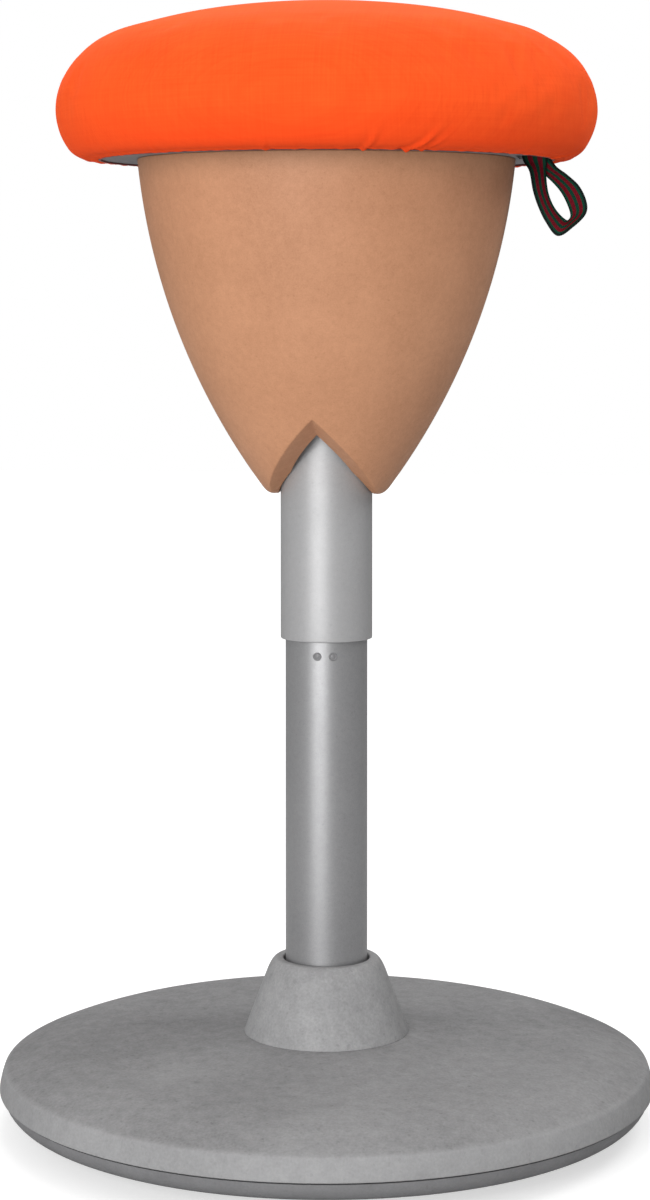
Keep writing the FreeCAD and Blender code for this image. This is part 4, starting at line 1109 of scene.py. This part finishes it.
def pale_floor():
    """Wide plain floor in a pale finish with a faint tooth.

    Seen by the camera, it fades away from the stool to the white of the surroundings.
    """
    half = 6.0
    corners = [(-half, -half, 0), (half, -half, 0), (half, half, 0), (-half, half, 0)]
    mesh = bpy.data.meshes.new("pale_floor")
    mesh.from_pydata(corners, [], [(0, 1, 2, 3)])
    floor = added("pale_floor", mesh)
    material, tree, shader = new_material("pale_floor", 0.9, Specular_IOR_Level=0.0,
                                          Emission_Color=(1, 1, 1, 1))
    place = object_place(tree)
    tooth = noise(tree, place, 60.0, 3.0)
    away = node(tree, "ShaderNodeVectorMath", {0: place}, operation="LENGTH").outputs["Value"]
    tree.links.new(tint(tree, tooth, (0.60, 0.60, 0.60, 1), (0.64, 0.64, 0.64, 1)),
                   shader.inputs["Base Color"])
    seen = node(tree, "ShaderNodeLightPath").outputs["Is Camera Ray"]
    glow = spread(tree, away, 0.6, 1.6, 0.58, 0.85)
    tree.links.new(times(tree, seen, glow), shader.inputs["Emission Strength"])
    mesh.materials.append(material)


def studio_air():
    """Soft surroundings, brighter on the left and overhead. To the camera they are plain white."""
    world = bpy.data.worlds.new("studio")
    bpy.context.scene.world = world
    world.use_nodes = True
    tree = world.node_tree
    background = tree.nodes["Background"]
    x, _, z = apart(tree, node(tree, "ShaderNodeTexCoord").outputs["Generated"])
    sideways = spread(tree, x, -1.0, 1.0, 0.24, 0.10)
    dimming = plus(tree, sideways, spread(tree, z, 0.0, 1.0, 0.0, 0.55))
    seen = node(tree, "ShaderNodeLightPath").outputs["Is Camera Ray"]
    strength = sums(tree, "MAXIMUM", dimming, seen)
    tree.links.new(strength, background.inputs["Strength"])
    background.inputs["Color"].default_value = (1, 1, 1, 1)


def soft_lamp(name, azimuth, elevation, distance, width, power, aim=0.4):
    """Square area lamp that faces the stool's axis at the height aim, from a distance.

    The azimuth is counted from the front towards +X, and both angles are in degrees.
    """
    lamp = bpy.data.lights.new(name, "AREA")
    lamp.shape = "SQUARE"
    lamp.size = width
    lamp.energy = power
    holder = added(name, lamp)
    turn, tilt = math.radians(azimuth), math.radians(elevation)
    back = Vector((math.sin(turn) * math.cos(tilt), -math.cos(turn) * math.cos(tilt),
                   math.sin(tilt)))
    holder.location = Vector((0, 0, aim)) + back * distance
    holder.rotation_euler = (-back).to_track_quat("-Z", "Y").to_euler()


def photo_camera():
    """Camera at the photograph's place, as fitted to the ellipses of the stool's round parts."""
    camera = bpy.data.cameras.new("photo_camera")
    camera.sensor_fit = "AUTO"
    camera.sensor_width = SENSOR_WIDTH
    camera.lens = SENSOR_WIDTH * FOCAL_PIXELS / PHOTO_HEIGHT
    camera.shift_x = AXIS_SHIFT / PHOTO_HEIGHT
    camera.shift_y = HORIZON_SHIFT / PHOTO_HEIGHT
    camera.dof.use_dof = False
    holder = added("photo_camera", camera)
    holder.location = (math.sin(CAMERA_AZIMUTH) * CAMERA_DISTANCE,
                       -math.cos(CAMERA_AZIMUTH) * CAMERA_DISTANCE, CAMERA_HEIGHT)
    holder.rotation_euler = (math.pi / 2 - CAMERA_PITCH, 0, CAMERA_AZIMUTH)
    bpy.context.scene.camera = holder


GREY_COAT = skin_material("pale_grey_coat", (0.335, 0.335, 0.340), (0.415, 0.415, 0.420), 0.46,
                          pits=1500.0, blotches=10.0, relief=0.14, depth=0.08 * MM,
                          metallic=0.3)
GREY_TUBE = skin_material("grey_coat", (0.275, 0.275, 0.281), (0.355, 0.355, 0.361), 0.42,
                          pits=1400.0, blotches=12.0, relief=0.16, depth=0.08 * MM,
                          metallic=0.6)
# The disc's band below its crease is painted lighter: a painted highlight with some rubbed wear
GREY_MOULDING = skin_material("grey_moulding", (0.170, 0.170, 0.173), (0.300, 0.300, 0.303), 0.78,
                              pits=600.0, blotches=9.0, relief=0.45, depth=0.35 * MM, streak=0.4,
                              rim=HEM_BOTTOM + CREASE_HEIGHT, Specular_IOR_Level=0.25)
PALE_MOULDING = skin_material("pale_moulding", (0.225, 0.225, 0.228), (0.370, 0.370, 0.373), 0.60,
                              pits=600.0, blotches=12.0, relief=0.4, depth=0.35 * MM, streak=0.4)
RIVET_STEEL = skin_material("rivet_steel", (0.150, 0.150, 0.154), (0.210, 0.210, 0.215), 0.4,
                            pits=1400.0, relief=0.1, depth=0.05 * MM)
GREY_PLATE = skin_material("grey_plate", (0.185, 0.180, 0.190), (0.235, 0.230, 0.240), 0.6,
                           pits=1100.0, relief=0.2, depth=0.12 * MM, Specular_IOR_Level=0.3)

bpy.context.scene.view_settings.view_transform = "Standard"
photo_camera()
studio_air()
soft_lamp("key_lamp", azimuth=-12, elevation=5, distance=2.6, width=1.7, power=66)
soft_lamp("side_lamp", azimuth=92, elevation=36, distance=0.9, width=0.5, power=3.8, aim=0.66)
soft_lamp("top_lamp", azimuth=-165, elevation=66, distance=0.85, width=0.7, power=4.4)
pale_floor()
finish_frame_nodes(GREY_PLATE, GREY_MOULDING)
seat_cushion()
hem_binding()
tapered_body()
upper_tube(GREY_COAT)
lower_tube(GREY_TUBE)
for index, degrees in enumerate((-5.5, 16.5)):
    tube_rivet("tube_rivet_%d" % index, degrees, RIVET_STEEL)
column_collar(PALE_MOULDING)
disc_cover(GREY_MOULDING)
webbing_loop()
